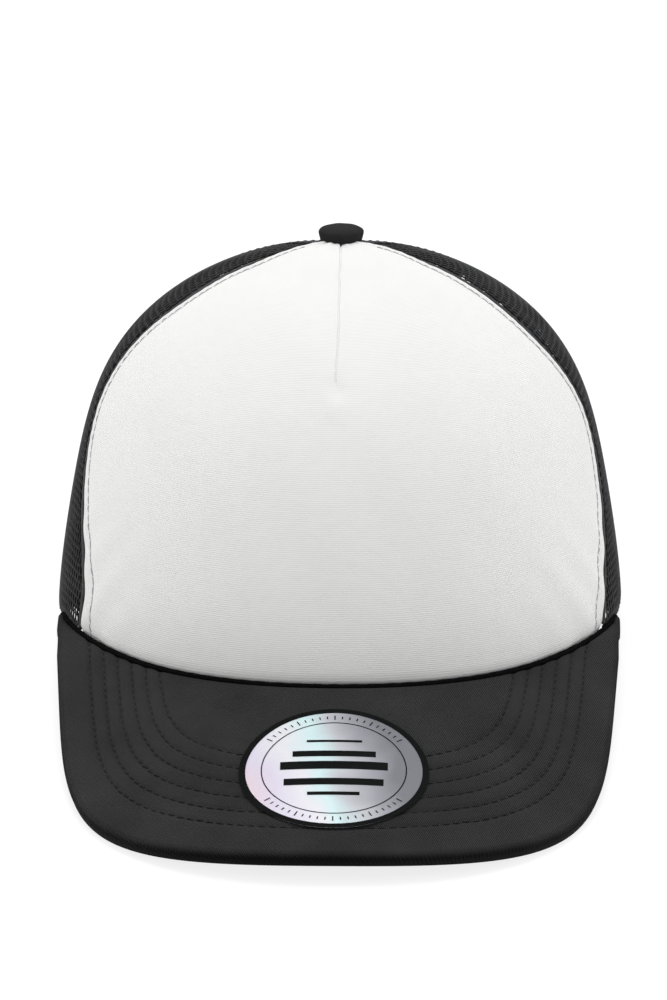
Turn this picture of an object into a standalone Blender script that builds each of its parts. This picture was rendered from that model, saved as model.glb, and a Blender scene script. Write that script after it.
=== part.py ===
"""Five-panel trucker mesh cap.

A foam-backed knit front panel, four open net panels, a covered button, a flat
stitched visor in three layers with a round sticker, a sweatband, seam tapes
and a plastic snap closure across a half-moon opening at the back.

Cap frame: x to the wearer's left-right axis, front of the cap toward -Y, +Z
up, origin in the plane of the rim. The cap_frame empty carries the pose of
the cap standing on the front corners of its visor and on its back rim.
"""
import math

import bmesh
import bpy
import numpy as np
from mathutils import Matrix, Vector

# ---------------------------------------------------------------- dimensions
GAP = 0.0003            # clearance between neighbouring pieces

# rim outline, a superellipse in plan
RIM_HALF_WIDTH = 0.0880
RIM_FRONT = 0.0892
RIM_BACK = 0.1000
RIM_EXP_FRONT = 2.10
RIM_EXP_BACK = 2.30

# crown profile
CROWN_HEIGHT = 0.1045
APEX_SHIFT = 0.0259     # the button sits behind the middle of the rim
PROFILE_FRONT = 3.10    # squareness of the profile: front, side, back
PROFILE_SIDE = 2.48
PROFILE_BACK = 1.52
RISE_FRONT = 2.30
RISE_SIDE = 2.23
RISE_BACK = 2.17
LEAN_FRONT = 0.010
LEAN_SIDE = 0.002
FULLNESS = 0.0184        # first and third harmonic of the panel pattern
SHOULDER = -0.0149
CROWN_FLAT = -0.0147
RIM_PLANE = 0.0004

# visor surface and outline
VISOR_DROOP = math.radians(17.30)
VISOR_ARCH = 2.078      # 1/m, sag of the visor across its width
VISOR_ARCH_X = 0.0785
VISOR_ROOT_Y = 0.0503
VISOR_SIDE_Y = 0.0528   # where the straight sides start
VISOR_FRONT_Y = 0.1654
VISOR_HALF_WIDTH = 0.0857
VISOR_TAPER = 0.0912
VISOR_CORNER = 5.45
VISOR_FRONT_EXP = 2.087
VISOR_TIP_Y = 0.0300
VISOR_TIP_X = 0.0865

# panels
SEAM_BASE = math.radians(63.5)
SEAM_SWELL = math.radians(10.8)
SEAM_RETURN = math.radians(10.4)
REAR_SEAM = math.radians(121.0)
REAR_SEAM_DRIFT = math.radians(3.0)
KNIT = 0.0008
FOAM = 0.0028
NET = 0.0010
TAPE = 0.0008
TAPE_WIDTH = 0.012
HOLE_TOP = 0.0034       # panels end around the button hole
FOAM_TOP = 0.0120
TAPE_TOP = 0.0150

# sweatband
BAND_TOP = 0.17
BAND_END = math.radians(147.0)
BAND_THICK = 0.0015

# back opening
OPEN_HALF = 0.050
OPEN_HEIGHT = 0.045
OPEN_EXP = 2.6          # squareness of the half-moon
BIND_WIDTH = 0.008
BIND_THICK = 0.0016

# snap closure, angles from the middle of the back
STRAP_LOW = 0.018
STRAP_HIGH = 0.113
STRAP_THICK = 0.0010
STRAP_ROOT = math.radians(29.1)
STRAP_AXIS = math.radians(29.75)
STRAP_TAB = math.radians(30.0)
STRAP_TAB_END = math.radians(36.5)
STRAP_TIP = math.radians(-12.0)
SNAP_PITCH = math.radians(5.3)
SNAP_COUNT = 7
HOLE_DEPTH = 0.0029     # below the outer face of the crown
PEG_DEPTH = 0.0042
HOLE_RADIUS = 0.0025
PEG_RADIUS = 0.0019
PEG_HEIGHT = 0.0016

# visor layers
COVER = 0.0008
BOARD = 0.0022
STICKER_RADIUS = 0.0271
STICKER_Y = 0.1279
STICKER_THICK = 0.0003

# button
BUTTON_RADIUS = 0.0072
BUTTON_HEIGHT = 0.0054

PLY = 0.0005            # clearance between plies that lie on each other

NAME = "trucker_mesh_cap"

# ---------------------------------------------------------------- scene reset
for ob in list(bpy.data.objects):
    bpy.data.objects.remove(ob, do_unlink=True)
for me in list(bpy.data.meshes):
    bpy.data.meshes.remove(me)

parts = bpy.data.collections.new(NAME)
bpy.context.scene.collection.children.link(parts)
tools = bpy.data.collections.new("cutters")
bpy.context.scene.collection.children.link(tools)


def empty(name, parent=None):
    ob = bpy.data.objects.new(name, None)
    parts.objects.link(ob)
    ob.parent = parent
    return ob


frame = empty("cap_frame")


# ---------------------------------------------------------------- materials
def lin(v):
    v = v / 255.0
    return v / 12.92 if v <= 0.04045 else ((v + 0.055) / 1.055) ** 2.4


def material(name, rgb, rough, metal=0.0):
    m = bpy.data.materials.new(name)
    m.use_nodes = True
    b = m.node_tree.nodes["Principled BSDF"]
    b.inputs["Base Color"].default_value = (lin(rgb[0]), lin(rgb[1]), lin(rgb[2]), 1.0)
    b.inputs["Roughness"].default_value = rough
    b.inputs["Metallic"].default_value = metal
    return m


WHITE = (228, 228, 226)
CHARCOAL = (50, 50, 52)
BLACK = (34, 34, 36)


# ---------------------------------------------------------------- formulas
def smooth(v):
    v = np.clip(v, 0.0, 1.0)
    return v * v * (3.0 - 2.0 * v)


def rim_radius(th):
    s, c = np.abs(np.sin(th)), np.abs(np.cos(th))
    front = np.cos(th) > 0
    b = np.where(front, RIM_FRONT, RIM_BACK)
    n = np.where(front, RIM_EXP_FRONT, RIM_EXP_BACK)
    return ((s / RIM_HALF_WIDTH) ** n + (c / b) ** n) ** (-1.0 / n)


def visor_z(x, y):
    """Top face of the visor; it levels out into the plane of the rim."""
    f = -math.tan(VISOR_DROOP) * (-y - VISOR_ROOT_Y) - (x * x - VISOR_ARCH_X ** 2) * VISOR_ARCH
    k = 0.0004
    d = np.clip((f - RIM_PLANE) / k, -60.0, 60.0)
    return np.where(d < -40, f, RIM_PLANE - k * np.log1p(np.exp(-d)))


def rim_z(th):
    r = rim_radius(th)
    x, y = r * np.sin(th), -r * np.cos(th)
    return np.where(np.cos(th) > 0, visor_z(x, y), RIM_PLANE) + GAP


def exponents(th):
    c = np.cos(th)
    back, front = np.clip(1 + c, 0, 1), np.clip(c, 0, 1)
    p = PROFILE_BACK + (PROFILE_SIDE - PROFILE_BACK) * back + (PROFILE_FRONT - PROFILE_SIDE) * front
    q = RISE_BACK + (RISE_SIDE - RISE_BACK) * back + (RISE_FRONT - RISE_SIDE) * front
    lean = LEAN_SIDE + (LEAN_FRONT - LEAN_SIDE) * front
    return p, q, lean


def spread(th, t):
    """Horizontal radius and rise of the crown at angle th, height parameter t."""
    p, q, lean = exponents(th)
    psi = t * math.pi / 2
    f = np.maximum(np.cos(psi), 0.0) ** (2 / p)
    g = np.maximum(np.sin(psi), 0.0) ** (2 / q)
    r = rim_radius(th) * f * (1 - lean * g)
    r = r * (1 + FULLNESS * np.sin(math.pi * t) + SHOULDER * np.sin(2 * math.pi * t)
             + CROWN_FLAT * np.sin(3 * math.pi * t))
    return r, g


def crown(th, t):
    r, g = spread(th, t)
    z = rim_z(th) * (1 - g) + CROWN_HEIGHT * g
    return np.stack([r * np.sin(th), -r * np.cos(th) + APEX_SHIFT * g * g, z], -1)


def crown_normal(th, t):
    e = 1e-3
    t0, t1 = np.clip(t - e, 0.0, 1.0), np.clip(t + e, 0.0, 1.0)
    n = np.cross(crown(th + e, t) - crown(th - e, t), crown(th, t1) - crown(th, t0))
    return n / np.linalg.norm(n, axis=-1, keepdims=True)


def crown_at(th, t, depth):
    """Point of the crown, depth metres inside its outer face."""
    th, t = np.asarray(th, float), np.asarray(t, float)
    return crown(th, t) - crown_normal(th, t) * np.asarray(depth)[..., None]


def front_seam(t):
    rise = np.sin(np.clip(t / 0.34, 0, 1) * math.pi / 2)
    return SEAM_BASE + SEAM_SWELL * rise - SEAM_RETURN * smooth((t - 0.36) / 0.42)


def rear_seam(t):
    return REAR_SEAM + REAR_SEAM_DRIFT * t


def shift(th, t, dist):
    """Angle moved by dist metres along the crown at height t."""
    r, _ = spread(th, t)
    return dist / np.maximum(r, 0.002)


def back_angles(x, z):
    """Angle and height parameter of the back wall point at x, z."""
    th = np.full_like(x, math.pi)
    for _ in range(30):
        _, q, _ = exponents(th)
        g = np.clip((z - RIM_PLANE - GAP) / (CROWN_HEIGHT - RIM_PLANE - GAP), 1e-6, 1)
        t = np.arcsin(g ** (q / 2)) * 2 / math.pi
        r, _ = spread(th, t)
        th = math.pi - np.arcsin(np.clip(x / r, -1, 1))
    return th, t


# ---------------------------------------------------------------- builders
def finish(ob, mat, parent=frame, is_smooth=True):
    ob.data.materials.append(mat)
    if is_smooth:
        for p in ob.data.polygons:
            p.use_smooth = True
    ob.parent = parent
    return ob


def sheet(name, nu, nv, place, thick, mat, parent=frame):
    """A patch bent into place by a formula of u and v, thickened inward."""
    bm = bmesh.new()
    bmesh.ops.create_grid(bm, x_segments=nu, y_segments=nv, size=0.5)
    vs = list(bm.verts)
    uv = np.array([(v.co.x + 0.5, v.co.y + 0.5) for v in vs])
    pts = place(np.clip(uv[:, 0], 0, 1), np.clip(uv[:, 1], 0, 1))
    for v, p in zip(vs, pts):
        v.co = Vector(p.tolist())
    me = bpy.data.meshes.new(name)
    bm.to_mesh(me)
    bm.free()
    ob = bpy.data.objects.new(name, me)
    parts.objects.link(ob)
    finish(ob, mat, parent)
    so = ob.modifiers.new("thickness", "SOLIDIFY")
    so.thickness = thick
    so.offset = -1.0
    so.use_even_offset = False
    return ob


def turned(name, profile, steps, mat, place, parent=frame):
    """Solid of revolution about Z from a profile running top to bottom."""
    me = bpy.data.meshes.new(name)
    me.from_pydata([(r, 0.0, z) for r, z in profile], [(i, i + 1) for i in range(len(profile) - 1)], [])
    ob = bpy.data.objects.new(name, me)
    parts.objects.link(ob)
    sc = ob.modifiers.new("turn", "SCREW")
    sc.axis = "Z"
    sc.steps = steps
    sc.render_steps = steps
    sc.use_merge_vertices = True
    sc.merge_threshold = 0.00001
    sc.use_smooth_shade = True
    ob.location = place
    finish(ob, mat, parent, False)
    return ob


def hidden(ob):
    tools.objects.link(ob)
    ob.hide_render = True
    ob.display_type = "WIRE"
    ob.parent = frame
    return ob


def boolean(ob, other, kind):
    b = ob.modifiers.new(kind.lower(), "BOOLEAN")
    b.operation = kind
    b.solver = "EXACT"
    b.object = other
    return b


# ---------------------------------------------------------------- crown panels
M_KNIT = material("white_knit", WHITE, 0.92)
M_FOAM = material("white_foam", (236, 235, 230), 0.95)
M_NET_SL = material("black_net_side_left", CHARCOAL, 0.75)
M_NET_SR = material("black_net_side_right", CHARCOAL, 0.75)
M_NET_BL = material("black_net_back_left", CHARCOAL, 0.75)
M_NET_BR = material("black_net_back_right", CHARCOAL, 0.75)


def height_at(th, radius):
    """Height parameter where the crown has narrowed to this radius."""
    p, _, _ = exponents(th)
    return np.arccos(np.clip(radius / rim_radius(th), 0, 1) ** (p / 2)) * 2 / math.pi


def between(v, a, b, w, radius, gap):
    """Angle and height of a panel point, w of the way from seam a to seam b."""
    t = 1 - (1 - v) ** 1.12
    ta = t * height_at(a(t), radius)
    tb = t * height_at(b(t), radius)
    lo = a(ta) + shift(a(ta), ta, gap)
    hi = b(tb) - shift(b(tb), tb, gap)
    th = lo + (hi - lo) * w
    return th, t * height_at(th, radius)


def front_face(u, v):
    th, t = between(v, lambda t: -front_seam(t), front_seam, u, HOLE_TOP, GAP * 0.7)
    return crown_at(th, t, 0 * t)


sheet("front_panel_face", 20, 13, front_face, KNIT, M_KNIT)


def front_foam(u, v):
    th, t = between(0.004 + 0.996 * v, lambda t: -front_seam(t), front_seam, u, FOAM_TOP, TAPE_WIDTH / 2 + 0.0012)
    return crown_at(th, t, 0 * t + KNIT + PLY)


sheet("front_panel_foam", 18, 11, front_foam, FOAM, M_FOAM)


def side_net(sign):
    def place(u, v):
        th, t = between(v, front_seam, rear_seam, u if sign > 0 else 1 - u, HOLE_TOP, GAP * 0.7)
        return crown_at(sign * th, t, 0 * t)
    return place


def back_net(sign):
    def place(u, v):
        th, t = between(v, rear_seam, lambda t: 0 * t + math.pi, u if sign > 0 else 1 - u, HOLE_TOP, GAP * 0.7)
        return crown_at(sign * th, t, 0 * t)
    return place


sheet("side_net_right", 8, 13, side_net(1), NET, M_NET_SR)
sheet("side_net_left", 8, 13, side_net(-1), NET, M_NET_SL)
net_r = sheet("back_net_right", 8, 13, back_net(1), NET, M_NET_BR)
net_l = sheet("back_net_left", 8, 13, back_net(-1), NET, M_NET_BL)


def arch_point(a, w, h):
    """Point of the half-moon edge, a running from the right foot to the left."""
    c, s = np.cos(a), np.abs(np.sin(a))
    return w * np.sign(c) * np.abs(c) ** (2 / OPEN_EXP), h * s ** (2 / OPEN_EXP)


# half-moon cutter, an arch drawn in the x-z plane and pushed through the back
arch = bpy.data.curves.new("half_moon", "CURVE")
arch.dimensions = "2D"
arch.fill_mode = "BOTH"
arch.extrude = 0.04
sp = arch.splines.new("POLY")
cut_w, cut_h = OPEN_HALF + BIND_WIDTH + PLY, OPEN_HEIGHT + BIND_WIDTH + PLY
ring = [arch_point(math.pi * k / 32, cut_w, cut_h) for k in range(33)]
ring += [(-cut_w, -0.012), (cut_w, -0.012)]
sp.points.add(len(ring) - 1)
for pnt, (px, pz) in zip(sp.points, ring):
    pnt.co = (px, pz, 0.0, 1.0)
sp.use_cyclic_u = True
tmp = bpy.data.objects.new("half_moon_curve", arch)
tools.objects.link(tmp)
bpy.context.view_layer.update()
cut_mesh = bpy.data.meshes.new_from_object(tmp.evaluated_get(bpy.context.evaluated_depsgraph_get()))
bpy.data.objects.remove(tmp, do_unlink=True)
bm = bmesh.new()
bm.from_mesh(cut_mesh)
bmesh.ops.remove_doubles(bm, verts=bm.verts, dist=0.00002)
bmesh.ops.rotate(bm, verts=bm.verts, cent=(0, 0, 0), matrix=Matrix.Rotation(math.pi / 2, 3, "X"))
bmesh.ops.translate(bm, verts=bm.verts, vec=(0, RIM_BACK - 0.02, RIM_PLANE + GAP))
bmesh.ops.recalc_face_normals(bm, faces=bm.faces)
bm.to_mesh(cut_mesh)
bm.free()
cutter = hidden(bpy.data.objects.new("half_moon_cutter", cut_mesh))
boolean(net_r, cutter, "DIFFERENCE")
boolean(net_l, cutter, "DIFFERENCE")


def binding(u, v):
    x, z = arch_point(math.pi * u, OPEN_HALF + BIND_WIDTH * v, OPEN_HEIGHT + BIND_WIDTH * v)
    th, t = back_angles(x, z + RIM_PLANE + GAP)
    return crown_at(th, t, 0 * t)


sheet("opening_binding", 32, 1, binding, BIND_THICK, material("black_binding", BLACK, 0.85))

# ---------------------------------------------------------------- seam tapes
def tape(name, seam, sign, t0, depth):
    def place(u, v):
        t = t0 + (height_at(seam(0.9 + 0 * v), TAPE_TOP) - t0) * v
        th = sign * seam(t)
        return crown_at(th + shift(th, t, TAPE_WIDTH * (u - 0.5)), t, 0 * t + depth)
    return sheet(name, 2, 11, place, TAPE, material(name, BLACK, 0.8))


UNDER_NET = NET + PLY
tape("seam_tape_front_right", front_seam, 1, 0.01, UNDER_NET)
tape("seam_tape_front_left", front_seam, -1, 0.01, UNDER_NET)
tape("seam_tape_rear_right", rear_seam, 1, 0.01, UNDER_NET)
tape("seam_tape_rear_left", rear_seam, -1, 0.01, UNDER_NET)
tape("seam_tape_back", lambda t: 0 * t + math.pi, 1, 0.365, UNDER_NET)
tape("dart_tape", lambda t: 0 * t, 1, 0.44, KNIT + FOAM + 2 * PLY)


# ---------------------------------------------------------------- sweatband
def band_depth(th):
    a = np.abs(th)
    front = KNIT + FOAM + 2 * PLY + 0.0002
    side = UNDER_NET + TAPE + PLY
    back = PEG_DEPTH + STRAP_THICK + PLY + 0.0002
    d = front + (side - front) * smooth((a - math.radians(66)) / math.radians(15))
    return d + (back - side) * smooth((a - math.radians(126)) / math.radians(13))


def band(u, v):
    th = (2 * u - 1) * BAND_END
    return crown_at(th, 0.002 + (BAND_TOP - 0.002) * v, band_depth(th))


sheet("sweatband", 52, 2, band, BAND_THICK, material("black_sweatband", (40, 40, 42), 0.9))


def label(u, v):
    th = -math.radians(136) + math.radians(12) * u
    return crown_at(th, 0.035 + 0.10 * v, band_depth(th) + BAND_THICK + 2 * PLY)


sheet("inner_label", 4, 2, label, 0.0004, material("white_label", (222, 222, 220), 0.85))


# ---------------------------------------------------------------- visor
def outer_edge(count, inset, tip_y):
    """Right-to-left outline of the visor, moved inward by inset."""
    line = np.linspace(0, 1, 40)[:-1]
    sx = VISOR_TIP_X + (VISOR_HALF_WIDTH - VISOR_TIP_X) * (tip_y + (VISOR_SIDE_Y - tip_y) * line
                                                          - VISOR_TIP_Y) / (VISOR_SIDE_Y - VISOR_TIP_Y)
    sy = tip_y + (VISOR_SIDE_Y - tip_y) * line
    ph = np.linspace(0, 1, 1200) ** 2.9 * math.pi / 2
    d = np.sin(ph) ** (2 / VISOR_CORNER)
    fy = VISOR_SIDE_Y + (VISOR_FRONT_Y - VISOR_SIDE_Y) * d
    fx = (VISOR_HALF_WIDTH - VISOR_TAPER * (fy - VISOR_SIDE_Y)) * np.maximum(np.cos(ph), 0) ** (2 / VISOR_FRONT_EXP)
    x = np.concatenate([sx, fx])
    y = -np.concatenate([sy, fy])
    x = np.concatenate([x, -x[::-1][1:]])
    y = np.concatenate([y, y[::-1][1:]])
    s = np.concatenate([[0], np.cumsum(np.hypot(np.diff(x), np.diff(y)))])
    k = np.linspace(0, s[-1], count + 1)
    e = 0.0015
    px, py = np.interp(k, s, x), np.interp(k, s, y)
    tx = np.interp(k + e, s, x) - np.interp(k - e, s, x)
    ty = np.interp(k + e, s, y) - np.interp(k - e, s, y)
    ln = np.hypot(tx, ty)
    return np.stack([px + ty / ln * inset * 1.0, py - tx / ln * inset], -1)


def inner_edge(count, tip_y, depth):
    th = np.linspace(0, math.radians(100), 2000)
    r = rim_radius(th)
    tip = np.interp(-tip_y, -r * np.cos(th), th)
    g = np.linspace(tip, -tip, 1601)
    p = crown_at(g, 0 * g, 0 * g + depth)[:, :2]
    s = np.concatenate([[0], np.cumsum(np.hypot(*np.diff(p, axis=0).T))])
    k = np.linspace(0, s[-1], count + 1)
    return np.stack([np.interp(k, s, p[:, 0]), np.interp(k, s, p[:, 1])], -1)


def visor_at(xy, depth):
    x, y = xy[:, 0], xy[:, 1]
    e = 1e-4
    nx = -(visor_z(x + e, y) - visor_z(x - e, y)) / (2 * e)
    ny = -(visor_z(x, y + e) - visor_z(x, y - e)) / (2 * e)
    n = np.stack([nx, ny, np.ones_like(nx)], -1)
    n /= np.linalg.norm(n, axis=1, keepdims=True)
    p = np.stack([x, y, visor_z(x, y)], -1)
    return p - n * np.asarray(depth)[:, None]


VISOR_COLS = 34


def visor_layer(depth, inset, tip_y, across, lip):
    inner = inner_edge(VISOR_COLS, tip_y, 0.0006)
    outer = outer_edge(VISOR_COLS, inset + (0.001 if lip else 0.0), tip_y)
    rim = outer_edge(VISOR_COLS, inset, tip_y)

    def place(u, v):
        col = np.rint((1 - u) * VISOR_COLS).astype(int)
        total = across + (3 if lip else 0)
        row = np.rint((1 - v) * total).astype(int)
        w = np.clip(row / across, 0, 1)[:, None]
        xy = inner[col] * (1 - w) + outer[col] * w
        extra = row - across
        xy = np.where((extra == 1)[:, None], rim[col] * 0.7 + outer[col] * 0.3, xy)
        xy = np.where((extra >= 2)[:, None], rim[col], xy)
        drop = np.select([extra == 1, extra == 2, extra >= 3], [0.0003, 0.0012, 0.0039], 0.0)
        return visor_at(xy, depth + drop)
    return place


VISOR_ROWS = 5
sheet("visor_top_cover", VISOR_COLS, VISOR_ROWS + 3,
      visor_layer(0.0, 0.0, VISOR_TIP_Y, VISOR_ROWS, True), COVER, material("charcoal_twill_top", CHARCOAL, 0.9))
sheet("visor_board", VISOR_COLS, VISOR_ROWS,
      visor_layer(COVER + GAP, 0.0016, 0.040, VISOR_ROWS, False), BOARD, material("visor_board_plastic", (60, 60, 62), 0.5))
sheet("visor_bottom_cover", VISOR_COLS, VISOR_ROWS,
      visor_layer(COVER + BOARD + 2 * GAP, 0.0013, 0.038, VISOR_ROWS, False), COVER,
      material("charcoal_twill_bottom", CHARCOAL, 0.9))


def sticker(u, v):
    a, b = 2 * u - 1, 2 * v - 1
    x = a * np.sqrt(1 - b * b / 2) * STICKER_RADIUS
    y = b * np.sqrt(1 - a * a / 2) * STICKER_RADIUS * math.cos(VISOR_DROOP) - STICKER_Y
    return visor_at(np.stack([x, y], -1), 0 * x - GAP - STICKER_THICK)


sheet("brim_sticker", 10, 10, sticker, STICKER_THICK, material("silver_foil", (205, 205, 215), 0.25, 0.6))

# ---------------------------------------------------------------- button
top = Vector((0.0, APEX_SHIFT, CROWN_HEIGHT + GAP))


def dome(radius, height, base, n=7):
    """Flattened dome profile from the top down to its lower rim."""
    out = []
    for k in range(n):
        a = math.pi / 2 * k / (n - 1)
        out.append((radius * math.sin(a) ** 0.9, base + (height - base) * math.cos(a) ** 0.85 if k < n - 1 else base))
    out[0] = (0.0, height)
    return out


def cup(radius, height, wall, base=0.0):
    outer = dome(radius, height, base)
    inner = dome(radius - wall, height - wall, base)
    return outer + inner[::-1]


turned("button_cover", cup(BUTTON_RADIUS, BUTTON_HEIGHT, 0.0006), 28, material("charcoal_button_cover", CHARCOAL, 0.9), top)
turned("button_shell", cup(BUTTON_RADIUS - 0.0009, BUTTON_HEIGHT - 0.0009, 0.0005), 24,
       material("tinned_steel_shell", (185, 186, 188), 0.35, 1.0), top)
TACK_TOP = -0.0032
turned("button_tack", [(0.0, 0.0024), (0.0012, 0.0024), (0.0012, TACK_TOP), (0.0060, TACK_TOP),
                       (0.0060, TACK_TOP - 0.0008), (0.0, TACK_TOP - 0.0008)], 24,
       material("tinned_steel_tack", (180, 181, 184), 0.4, 1.0), top)


# ---------------------------------------------------------------- snap closure
def hinge_frame(name, sign):
    """Empty on the bend line of a strap, its Z along the bend."""
    ob = empty(name, frame)
    th = np.array([sign * (math.pi - STRAP_AXIS)])
    mid = HOLE_DEPTH if sign > 0 else PEG_DEPTH
    p = crown_at(th, np.array([(STRAP_LOW + STRAP_HIGH) / 2]), np.array([mid + STRAP_THICK / 2]))[0]
    ob.location = Vector(p.tolist())
    return ob


def strap(sign, start, stop, depth, origin, tip):
    """Strap along the back wall; sign is the side its root is sewn to."""
    def place(u, v):
        w = u if sign > 0 else 1 - u
        a = start + (stop - start) * w
        # the free end is rounded in height
        half = (STRAP_HIGH - STRAP_LOW) / 2
        mid = (STRAP_HIGH + STRAP_LOW) / 2
        k = np.clip((w - (1 - tip)) / max(tip, 1e-6), 0, 1) if tip else 0 * w
        squeeze = np.sqrt(np.clip(1 - (0.86 * k) ** 2, 0, 1))
        t = mid + (2 * v - 1) * half * squeeze
        return crown_at(sign * (math.pi - a), t, 0 * t + depth) - origin
    return place


def stations(sign):
    """Snap positions, the middle four shared by both straps."""
    return [sign * (k - 1.5) * SNAP_PITCH for k in range(SNAP_COUNT)]


def studs(name, sign, depth, r0, r1, low, high, origin):
    """Row of short round studs standing on the back wall."""
    bm = bmesh.new()
    mid = (STRAP_HIGH + STRAP_LOW) / 2
    for a in stations(sign):
        th = np.array([math.pi - a])
        c = crown_at(th, np.array([mid]), np.array([depth]))[0]
        n = Vector(crown_normal(th, np.array([mid]))[0].tolist())
        m = Matrix.Translation(Vector((c - origin).tolist()) + n * (low + high) / 2) @ n.to_track_quat("Z", "Y").to_matrix().to_4x4()
        bmesh.ops.create_cone(bm, cap_ends=True, segments=12, radius1=r0, radius2=r1, depth=high - low, matrix=m)
    me = bpy.data.meshes.new(name)
    bm.to_mesh(me)
    bm.free()
    return bpy.data.objects.new(name, me)


M_STRAP = (38, 38, 40)
hole_hinge = hinge_frame("hole_strap_hinge", 1)
peg_hinge = hinge_frame("peg_strap_hinge", -1)
origin_h = np.array(hole_hinge.location)
origin_p = np.array(peg_hinge.location)
none = np.zeros(3)

hole_strap = sheet("hole_strap", 18, 4, strap(1, STRAP_ROOT, STRAP_TIP, HOLE_DEPTH, origin_h, 0.1), STRAP_THICK,
                   material("black_hole_strap", M_STRAP, 0.45), hole_hinge)
peg_strap = sheet("peg_strap", 18, 4, strap(-1, STRAP_ROOT, STRAP_TIP, PEG_DEPTH, origin_p, 0.1), STRAP_THICK,
                  material("black_peg_strap", M_STRAP, 0.45), peg_hinge)
sheet("hole_strap_root", 5, 3, strap(1, STRAP_TAB_END, STRAP_TAB, HOLE_DEPTH, none, 0), STRAP_THICK,
      material("black_hole_strap_root", M_STRAP, 0.45))
sheet("peg_strap_root", 5, 3, strap(-1, STRAP_TAB_END, STRAP_TAB, PEG_DEPTH, none, 0), STRAP_THICK,
      material("black_peg_strap_root", M_STRAP, 0.45))

holes = hidden(studs("snap_holes", 1, HOLE_DEPTH, HOLE_RADIUS, HOLE_RADIUS, -0.003, 0.002, origin_h))
holes.parent = hole_hinge
boolean(hole_strap, holes, "DIFFERENCE")
pegs = hidden(studs("snap_pegs", -1, PEG_DEPTH, PEG_RADIUS * 0.96, PEG_RADIUS, -0.0006, PEG_HEIGHT, origin_p))
pegs.parent = peg_hinge
boolean(peg_strap, pegs, "UNION")

# ---------------------------------------------------------------- standing pose
# The cap leans back until the visor's front corners and the back rim both
# touch the ground.
bpy.context.view_layer.update()


def all_points():
    deps = bpy.context.evaluated_depsgraph_get()
    pts = []
    for ob in parts.objects:
        if ob.type != "MESH":
            continue
        ev = ob.evaluated_get(deps)
        me = ev.to_mesh()
        mw = np.array(ob.matrix_world)
        co = np.empty(len(me.vertices) * 3)
        me.vertices.foreach_get("co", co)
        co = co.reshape(-1, 3)
        pts.append(co @ mw[:3, :3].T + mw[:3, 3])
        ev.to_mesh_clear()
    return np.concatenate(pts)


cloud = all_points()
visor_side = cloud[cloud[:, 1] < -0.05]
rear_side = cloud[cloud[:, 1] > 0.05]
lo, hi = 0.0, math.radians(30)
for _ in range(50):
    a = (lo + hi) / 2
    front_low = (-visor_side[:, 1] * math.sin(a) + visor_side[:, 2] * math.cos(a)).min()
    rear_low = (-rear_side[:, 1] * math.sin(a) + rear_side[:, 2] * math.cos(a)).min()
    if front_low < rear_low:
        lo = a
    else:
        hi = a
frame.rotation_euler = (-a, 0.0, 0.0)
c, s = math.cos(a), math.sin(a)
yy = cloud[:, 1] * c + cloud[:, 2] * s
zz = -cloud[:, 1] * s + cloud[:, 2] * c
frame.location = (-(cloud[:, 0].min() + cloud[:, 0].max()) / 2, -(yy.min() + yy.max()) / 2, -zz.min())
bpy.context.view_layer.update()
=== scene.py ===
"""Trucker mesh cap: knit front on foam, open net sides and back, stitched visor,
covered button, foil sticker, sweatband, seam tapes and snap closure."""
import math

import bmesh
import bpy
import numpy as np
from mathutils import Matrix, Vector

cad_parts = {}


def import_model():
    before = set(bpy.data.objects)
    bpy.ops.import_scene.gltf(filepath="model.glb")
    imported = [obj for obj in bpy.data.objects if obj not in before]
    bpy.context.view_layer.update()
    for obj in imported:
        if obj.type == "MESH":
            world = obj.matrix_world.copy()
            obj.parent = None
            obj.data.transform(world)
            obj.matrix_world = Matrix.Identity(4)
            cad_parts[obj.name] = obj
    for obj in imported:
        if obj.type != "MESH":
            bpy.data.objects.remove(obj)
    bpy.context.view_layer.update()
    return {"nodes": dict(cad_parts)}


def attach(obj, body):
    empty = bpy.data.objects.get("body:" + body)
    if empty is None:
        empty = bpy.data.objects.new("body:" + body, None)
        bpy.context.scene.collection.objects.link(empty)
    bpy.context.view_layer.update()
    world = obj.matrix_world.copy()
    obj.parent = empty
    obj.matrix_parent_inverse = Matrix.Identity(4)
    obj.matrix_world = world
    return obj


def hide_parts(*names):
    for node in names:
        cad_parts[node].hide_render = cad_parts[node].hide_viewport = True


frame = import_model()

# ------------------------------------------------------------ pose of the cap
PITCH = 0.12772409617900848
PLACE = np.array([0.0, 0.034436747431755066, 0.01039801724255085])
CA, SA = math.cos(PITCH), math.sin(PITCH)
TURN = np.array([[1, 0, 0], [0, CA, SA], [0, -SA, CA]])


def world(p):
    """Points of the cap's own frame in the row frame."""
    return np.asarray(p, float) @ TURN.T + PLACE


def world_dir(p):
    return np.asarray(p, float) @ TURN.T


# ------------------------------------------------------------ cap dimensions
GAP = 0.0003
RIM_HALF_WIDTH, RIM_FRONT, RIM_BACK = 0.0880, 0.0892, 0.1000
RIM_EXP_FRONT, RIM_EXP_BACK = 2.10, 2.30
CROWN_HEIGHT, APEX_SHIFT = 0.1045, 0.0259
PROFILE_FRONT, PROFILE_SIDE, PROFILE_BACK = 3.10, 2.48, 1.52
RISE_FRONT, RISE_SIDE, RISE_BACK = 2.30, 2.23, 2.17
LEAN_FRONT, LEAN_SIDE = 0.010, 0.002
FULLNESS, SHOULDER, CROWN_FLAT = 0.0184, -0.0149, -0.0147
RIM_PLANE = 0.0004
VISOR_DROOP = math.radians(17.30)
VISOR_ARCH, VISOR_ARCH_X = 2.078, 0.0785
VISOR_ROOT_Y, VISOR_SIDE_Y, VISOR_FRONT_Y = 0.0503, 0.0528, 0.1654
VISOR_HALF_WIDTH, VISOR_TAPER = 0.0857, 0.0912
VISOR_CORNER, VISOR_FRONT_EXP = 5.45, 2.087
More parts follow.
